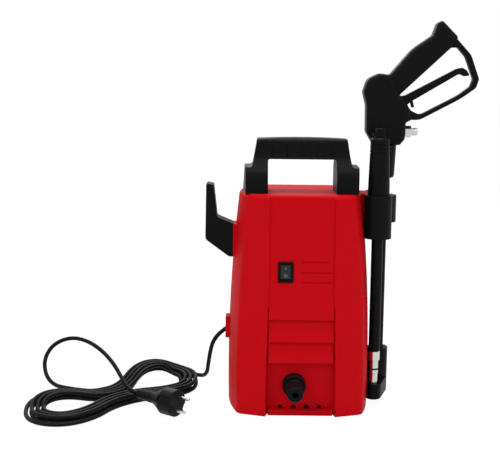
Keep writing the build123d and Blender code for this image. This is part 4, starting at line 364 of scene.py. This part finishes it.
def core_iron():
    """Stacked iron sheets: dark grey, dull."""
    return surface(
        "core_iron",
        {"Base Color": linear("5C5C5E"), "Metallic": 1.0, "Roughness": 0.55},
    )[0]


def enamelled_copper():
    """Enamelled copper wire: red-brown with a varnish shine."""
    return surface(
        "enamelled_copper",
        {"Base Color": linear("B8683F"), "Metallic": 1.0, "Roughness": 0.35},
    )[0]


def moulded_rubber():
    """Moulded rubber: black and matt."""
    return surface(
        "moulded_rubber",
        {"Base Color": linear("1B1B1B"), "Roughness": 0.75},
    )[0]


def pressed_carbon():
    """Pressed carbon of the brushes: black with a graphite glint."""
    return surface(
        "pressed_carbon",
        {"Base Color": linear("242426"), "Roughness": 0.5},
    )[0]


def woven_nylon():
    """Woven nylon mesh of the filter: pale and dull."""
    return surface(
        "woven_nylon",
        {"Base Color": linear("CFCDC4"), "Roughness": 0.65},
    )[0]


def finishes(colours):
    """Material of each slot of the record."""
    black = black_polypropylene(colours)
    steel = ground_steel()
    return {
        "red_abs": moulded_red_abs(colours),
        "black_plastic": black,
        "rocker_plastic": rocker_nylon(colours),
        "cord_rubber": black_pvc_sheath(colours),
        "rubber": moulded_rubber(),
        "screw_steel": zinc_screw_steel(),
        "bright_steel": steel,
        "nozzle_metal": nickel_plate(),
        "brass": turned_brass(),
        "cast_aluminium": cast_aluminium(),
        "motor_paint": painted_can(),
        "core_iron": core_iron(),
        "copper": enamelled_copper(),
        "carbon": pressed_carbon(),
        "fan_plastic": black,
        "filter_mesh": woven_nylon(),
    }


# Modelling helpers


def deselect_all():
    """Leave object mode with nothing selected, so that an operator acts only on what comes next."""
    if bpy.context.object and bpy.context.object.mode != "OBJECT":
        bpy.ops.object.mode_set(mode="OBJECT")
    bpy.ops.object.select_all(action="DESELECT")


def settle(piece, place=None):
    """Put a new piece's place into its mesh and leave its object at the origin."""
    deselect_all()
    piece.select_set(True)
    bpy.context.view_layer.objects.active = piece
    if place is not None:
        piece.matrix_world = place @ piece.matrix_world
    bpy.ops.object.transform_apply(location=True, rotation=True, scale=True)
    return piece


def join(pieces, name):
    """Join pieces into one object with a name."""
    deselect_all()
    for piece in pieces:
        piece.select_set(True)
    bpy.context.view_layer.objects.active = pieces[0]
    if len(pieces) > 1:
        bpy.ops.object.join()
    joined = bpy.context.object
    joined.name = name
    joined.data.name = name
    return joined


def axis_frame(origin, heading, side=(0, 0, 1)):
    """Matrix whose Z axis follows a heading from an origin."""
    z_axis = Vector(heading).normalized()
    x_axis = (Vector(side) - z_axis * z_axis.dot(Vector(side))).normalized()
    y_axis = z_axis.cross(x_axis)
    turn = Matrix((x_axis, y_axis, z_axis)).transposed().to_4x4()
    return Matrix.Translation(Vector(origin)) @ turn


def finish_piece(piece, body, material):
    """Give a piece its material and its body."""
    piece.data.materials.clear()
    piece.data.materials.append(material)
    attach(piece, body)


def ridge_rings(name, place, first, count, pitch, radius, ridge):
    """Row of rounded rings along the Z axis of a place: the crests of a thread or the ribs of a sleeve."""
    rings = []
    for number in range(count):
        deselect_all()
        bpy.ops.mesh.primitive_torus_add(
            major_radius=radius * MM, minor_radius=ridge * MM,
            major_segments=RING_SEGMENTS, minor_segments=WIRE_SEGMENTS,
            location=(0, 0, (first + number * pitch) * MM),
        )
        bpy.ops.object.mode_set(mode="EDIT")
        bpy.ops.mesh.select_all(action="SELECT")
        bpy.ops.transform.resize(value=(1, 1, RIDGE_STRETCH))
        bpy.ops.object.mode_set(mode="OBJECT")
        rings.append(settle(bpy.context.object, place))
    piece = join(rings, name)
    bpy.ops.object.shade_smooth()
    return piece


# Mains lead


def cord_start():
    """First two points of the lead: in the gland's bore and straight out of it."""
    start = Vector(GLAND_BORE)
    heading = Vector((-math.cos(GLAND_DROOP), 0, -math.sin(GLAND_DROOP)))
    return [start, start + heading * LEAD_RUN_OUT]


def hank_station(turns):
    """Place and heading of the lead in its hank, at a count of turns in eighths."""
    drawn_in = min(turns, 2 * HANK_LAYER_TURNS - turns)
    half = HANK_LOBE_HALF - HANK_STEP * drawn_in
    waist = HANK_WAIST_HALF - HANK_WAIST_STEP * drawn_in
    tip = HANK_LOBE_CENTRE + half
    u, v, lift, along_u, along_v = (
        (tip, 0, HANK_TIP_RISE, 0, 1),
        (HANK_LOBE_CENTRE, half, HANK_FAR_RISE, -1, 0),
        (0, waist, 0, -1, 0),
        (-HANK_LOBE_CENTRE, half, HANK_LEFT_RISE, -1, 0),
        (-tip, 0, 0, 0, -1),
        (-HANK_LOBE_CENTRE, -half, 0, 1, 0),
        (0, -waist, 0, 1, 0),
        (HANK_LOBE_CENTRE, -half, 0, 1, 0),
    )[round(turns * STATIONS) % STATIONS]
    climb = min(max((turns - HANK_LAYER_TURNS + HANK_CLIMB_BEFORE) / HANK_CLIMB_SPAN, 0), 1)
    rise = HANK_LAYER_RISE * climb * climb * (3 - 2 * climb)
    turn = Matrix.Rotation(HANK_TURN, 3, "Z")
    place = Vector(HANK_MIDDLE) + turn @ Vector((u, v, rise + lift))
    return place, turn @ Vector((along_u, along_v, 0))


def tangent_points(start, leave, end, arrive):
    """Corner points of the smooth bend between two headed stations."""
    gap = end - start
    both = leave + arrive
    spread = 2 * (1 - leave.dot(arrive))
    reach = gap.dot(both)
    square = gap.dot(gap)
    if spread < PARALLEL:
        length = square / (4 * gap.dot(arrive))
    else:
        length = (-reach + math.sqrt(reach * reach + spread * square)) / spread
    return [start + leave * length, end - arrive * length]


def cord_points():
    """Control points of the whole lead, from gland to plug, in millimetres."""
    marks = [hank_station(step / STATIONS) for step in range(round(HANK_END_TURN * STATIONS) + 1)]
    start, into = marks[0]
    end, out = marks[-1]
    points = cord_start() + [Vector(point) for point in LEAD_POINTS]
    points.append(start - into * LEAD_RUN_IN)
    for (here, leave), (there, arrive) in zip(marks, marks[1:]):
        points += tangent_points(here, leave, there, arrive)
    points.append(end + out * TAIL_RUN_OUT)
    points += [Vector(point) for point in TAIL_POINTS]
    heading = Vector((math.cos(PLUG_HEADING), math.sin(PLUG_HEADING), 0))
    entry = Vector(PLUG_FACE) - heading * (PLUG_LENGTH - PLUG_ENTRY)
    return points + [entry - heading * TAIL_RUN_IN, entry]


class WASHER_OT_finishes(bpy.types.Operator):
    """Give every piece of the frame the finish of its material slot"""

    bl_idname = "washer.finishes"
    bl_label = "Finishes"

    def execute(self, context):
        slots = finishes(context.scene.washer_colours)
        for row in frame["record"]["subparts"]:
            node = frame["nodes"][row["node"]]
            node.data.materials.clear()
            node.data.materials.append(slots[row["material_slot"]])
        return {"FINISHED"}


class WASHER_OT_mains_lead(bpy.types.Operator):
    """Lay the mains lead from the gland through its hank to the plug"""

    bl_idname = "washer.mains_lead"
    bl_label = "Mains lead"

    def execute(self, context):
        points = cord_points()
        curve = bpy.data.curves.new("mains_lead", "CURVE")
        curve.dimensions = "3D"
        spline = curve.splines.new("NURBS")
        spline.points.add(len(points) - 1)
        for knot, point in zip(spline.points, points):
            knot.co = (*(point * MM), 1.0)
        spline.order_u = 3
        spline.use_endpoint_u = True
        curve.resolution_u = CORD_DIVISIONS
        curve.bevel_depth = CORD_RADIUS * MM
        curve.bevel_resolution = CORD_ROUNDNESS
        curve.use_fill_caps = True
        lead = bpy.data.objects.new("mains_lead", curve)
        context.scene.collection.objects.link(lead)
        finish_piece(lead, "washer", bpy.data.materials["black_pvc_sheath"])
        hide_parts("cord_lead", "cord_hank", "cord_tail")
        return {"FINISHED"}


class WASHER_OT_switch_marks(bpy.types.Operator):
    """Print the on and off marks on the rocker"""

    bl_idname = "washer.switch_marks"
    bl_label = "Switch marks"

    def execute(self, context):
        sizes = context.scene.washer_sizes
        pivot = Vector(JOINTS["rocker_tilt"]["pos_m"])
        lean = math.atan(PANEL_SLOPE)
        panel = Matrix.Translation(pivot) @ Matrix.Rotation(math.radians(90) - lean, 4, "X")
        rocker = panel @ Matrix.Rotation(-ROCKER_TILT, 4, "X")
        dip = Matrix.Translation((0, 0, ROCKER_DIP * MM))
        upper, lower = (
            rocker @ dip @ Matrix.Rotation(side * ROCKER_CANT, 4, "X")
            @ Matrix.Translation((0, side * MARK_OUT * MM, 0))
            for side in (1, -1)
        )
        material = printed_mark(context.scene.washer_colours)

        deselect_all()
        bpy.ops.mesh.primitive_cube_add(size=1)
        stroke = bpy.context.object
        stroke.scale = (sizes.mark_width, sizes.mark_length, 2 * sizes.mark_height)
        settle(stroke)
        bpy.ops.object.mode_set(mode="EDIT")
        bpy.ops.mesh.select_all(action="SELECT")
        bpy.ops.mesh.bevel(offset=sizes.mark_height / 2, segments=1)
        bpy.ops.object.mode_set(mode="OBJECT")
        settle(stroke, upper)
        stroke.name = "rocker_mark_on"

        deselect_all()
        bpy.ops.mesh.primitive_torus_add(
            major_radius=sizes.mark_length / 2 - sizes.mark_width / 2, minor_radius=sizes.mark_width / 2,
            major_segments=MARK_SEGMENTS, minor_segments=WIRE_SEGMENTS,
        )
        ring = bpy.context.object
        ring.scale = (1, 1, 2 * sizes.mark_height / sizes.mark_width)
        settle(ring)
        settle(ring, lower)
        ring.name = "rocker_mark_off"
        for mark in (stroke, ring):
            finish_piece(mark, "rocker", material)
        return {"FINISHED"}


class WASHER_OT_threads(bpy.types.Operator):
    """Add thread crests to the gun's fitting and the outlet, and ribs to the plug's strain relief"""

    bl_idname = "washer.threads"
    bl_label = "Threads and ribs"

    def execute(self, context):
        first, count, pitch, radius, ridge = GUN_THREAD
        gun_place = axis_frame(Vector((0, 0, GUN_FITTING_Z)) * MM, (1, 0, 0))
        gun_thread = ridge_rings(
            "gun_thread_crests", gun_place, first, count, pitch, radius - ridge, ridge * CREST_SHARE,
        )
        finish_piece(gun_thread, "gun", bpy.data.materials["nickel_plate"])

        first, count, pitch, radius, ridge = OUTLET_THREAD
        outlet_place = axis_frame(Vector((0, 0, OUTLET_Z)) * MM, (0, 1, 0))
        outlet_thread = ridge_rings(
            "outlet_thread_crests", outlet_place, first, count, pitch, radius - ridge, ridge * CREST_SHARE,
        )
        finish_piece(outlet_thread, "washer", bpy.data.materials["turned_brass"])

        heading = (math.cos(PLUG_HEADING), math.sin(PLUG_HEADING), 0)
        plug_place = axis_frame(Vector(PLUG_FACE) * MM, heading)
        ribs = []
        for number in range(context.scene.washer_sizes.relief_ribs):
            back = RELIEF_BACK - RELIEF_PITCH * number
            radius = RELIEF_RADIUS + RELIEF_FLARE * number
            ribs.append(ridge_rings(f"rib_{number}", plug_place, -back, 1, 1, radius, RELIEF_RIDGE))
        relief = join(ribs, "plug_relief_ribs")
        finish_piece(relief, "washer", bpy.data.materials["black_pvc_sheath"])
        return {"FINISHED"}


class WASHER_OT_stage(bpy.types.Operator):
    """Set the floor, the light and the camera"""

    bl_idname = "washer.stage"
    bl_label = "Stage"

    def execute(self, context):
        scene = context.scene
        stage = scene.washer_stage
        scene.view_settings.view_transform = "Standard"

        deselect_all()
        bpy.ops.mesh.primitive_plane_add(size=stage.floor_size, location=(0, 0, -FLOOR_DROP))
        floor = bpy.context.object
        floor.name = "floor"
        floor.data.materials.append(pale_floor(scene.washer_colours))

        light_world(scene)
        for name, place, size, power in LAMPS:
            lamp = bpy.data.lights.new(name, "AREA")
            lamp.shape = "DISK"
            lamp.size = size
            lamp.energy = power
            holder = bpy.data.objects.new(name, lamp)
            aim = Vector(LAMP_TARGET) - Vector(place)
            turn = aim.to_track_quat("-Z", "Y").to_matrix().to_4x4()
            holder.matrix_world = Matrix.Translation(place) @ turn
            scene.collection.objects.link(holder)

        view = bpy.data.cameras.new("camera")
        view.lens = stage.lens
        view.sensor_width = SENSOR_WIDTH
        camera = bpy.data.objects.new("camera", view)
        turn = Matrix.Rotation(math.radians(90) - stage.pitch, 4, "X") @ Matrix.Rotation(stage.roll, 4, "Z")
        camera.matrix_world = Matrix.Translation(Vector(stage.place)) @ turn
        scene.collection.objects.link(camera)
        scene.camera = camera
        return {"FINISHED"}


def seen_ray(tree):
    """Value that is 1 for rays that show the background: camera, glossy and transmission rays."""
    path = add_node(tree, "ShaderNodeLightPath")
    first = add_node(
        tree, "ShaderNodeMath", links={0: path.outputs["Is Camera Ray"], 1: path.outputs["Is Glossy Ray"]},
        operation="MAXIMUM",
    )
    return add_node(
        tree, "ShaderNodeMath", links={0: first.outputs[0], 1: path.outputs["Is Transmission Ray"]},
        operation="MAXIMUM",
    ).outputs[0]


def pale_floor(colours):
    """Plain pale floor that shows nearly white and keeps a soft shadow of the object."""
    material, tree, shader = surface("pale_floor", {"Base Color": linear(colours.floor), "Roughness": 0.9})
    glow = add_node(tree, "ShaderNodeEmission", {"Color": linear("FFFFFF"), "Strength": FLOOR_GLOW})
    share = add_node(
        tree, "ShaderNodeMath", {1: FLOOR_GLOW_SHARE}, {0: seen_ray(tree)}, operation="MULTIPLY",
    )
    mix = add_node(
        tree, "ShaderNodeMixShader",
        links={0: share.outputs[0], 1: shader.outputs["BSDF"], 2: glow.outputs["Emission"]},
    )
    output = tree.nodes["Material Output"]
    tree.links.new(mix.outputs[0], output.inputs["Surface"])
    return material


def light_world(scene):
    """White surroundings that light the object at a plain level."""
    world = bpy.data.worlds.new("studio")
    world.use_nodes = True
    tree = world.node_tree
    back = tree.nodes["Background"]
    back.inputs["Color"].default_value = linear("FFFFFF")
    soft = add_node(tree, "ShaderNodeMath", {1: SKY_SEEN_EXTRA}, {0: seen_ray(tree)}, operation="MULTIPLY")
    level = add_node(tree, "ShaderNodeMath", {1: SKY_LIGHT}, {0: soft.outputs[0]}, operation="ADD")
    tree.links.new(level.outputs[0], back.inputs["Strength"])
    scene.world = world


class WASHER_PT_panel(bpy.types.Panel):
    """Steps that dress the washer, in order"""

    bl_idname = "WASHER_PT_panel"
    bl_label = "Pressure washer"
    bl_space_type = "VIEW_3D"
    bl_region_type = "UI"
    bl_category = "Washer"

    def draw(self, context):
        for operator in STEPS:
            self.layout.operator(operator.bl_idname)


STEPS = (
    WASHER_OT_finishes,
    WASHER_OT_stage,
    WASHER_OT_mains_lead,
    WASHER_OT_switch_marks,
    WASHER_OT_threads,
)
GROUPS = {"washer_sizes": WasherSizes, "washer_colours": WasherColours, "washer_stage": WasherStage}


def register():
    """Register the classes and hang the settings on the scene."""
    for group in GROUPS.values():
        bpy.utils.register_class(group)
    for operator in STEPS:
        bpy.utils.register_class(operator)
    bpy.utils.register_class(WASHER_PT_panel)
    for name, group in GROUPS.items():
        setattr(bpy.types.Scene, name, bpy.props.PointerProperty(type=group))


def unregister():
    """Take the settings and the classes away again."""
    for name in GROUPS:
        delattr(bpy.types.Scene, name)
    bpy.utils.unregister_class(WASHER_PT_panel)
    for operator in reversed(STEPS):
        bpy.utils.unregister_class(operator)
    for group in reversed(GROUPS.values()):
        bpy.utils.unregister_class(group)


def main():
    """Dress the washer."""
    register()
    bpy.ops.washer.finishes()
    bpy.ops.washer.stage()
    bpy.ops.washer.mains_lead()
    bpy.ops.washer.switch_marks()
    bpy.ops.washer.threads()


if __name__ == "__main__":
    main()
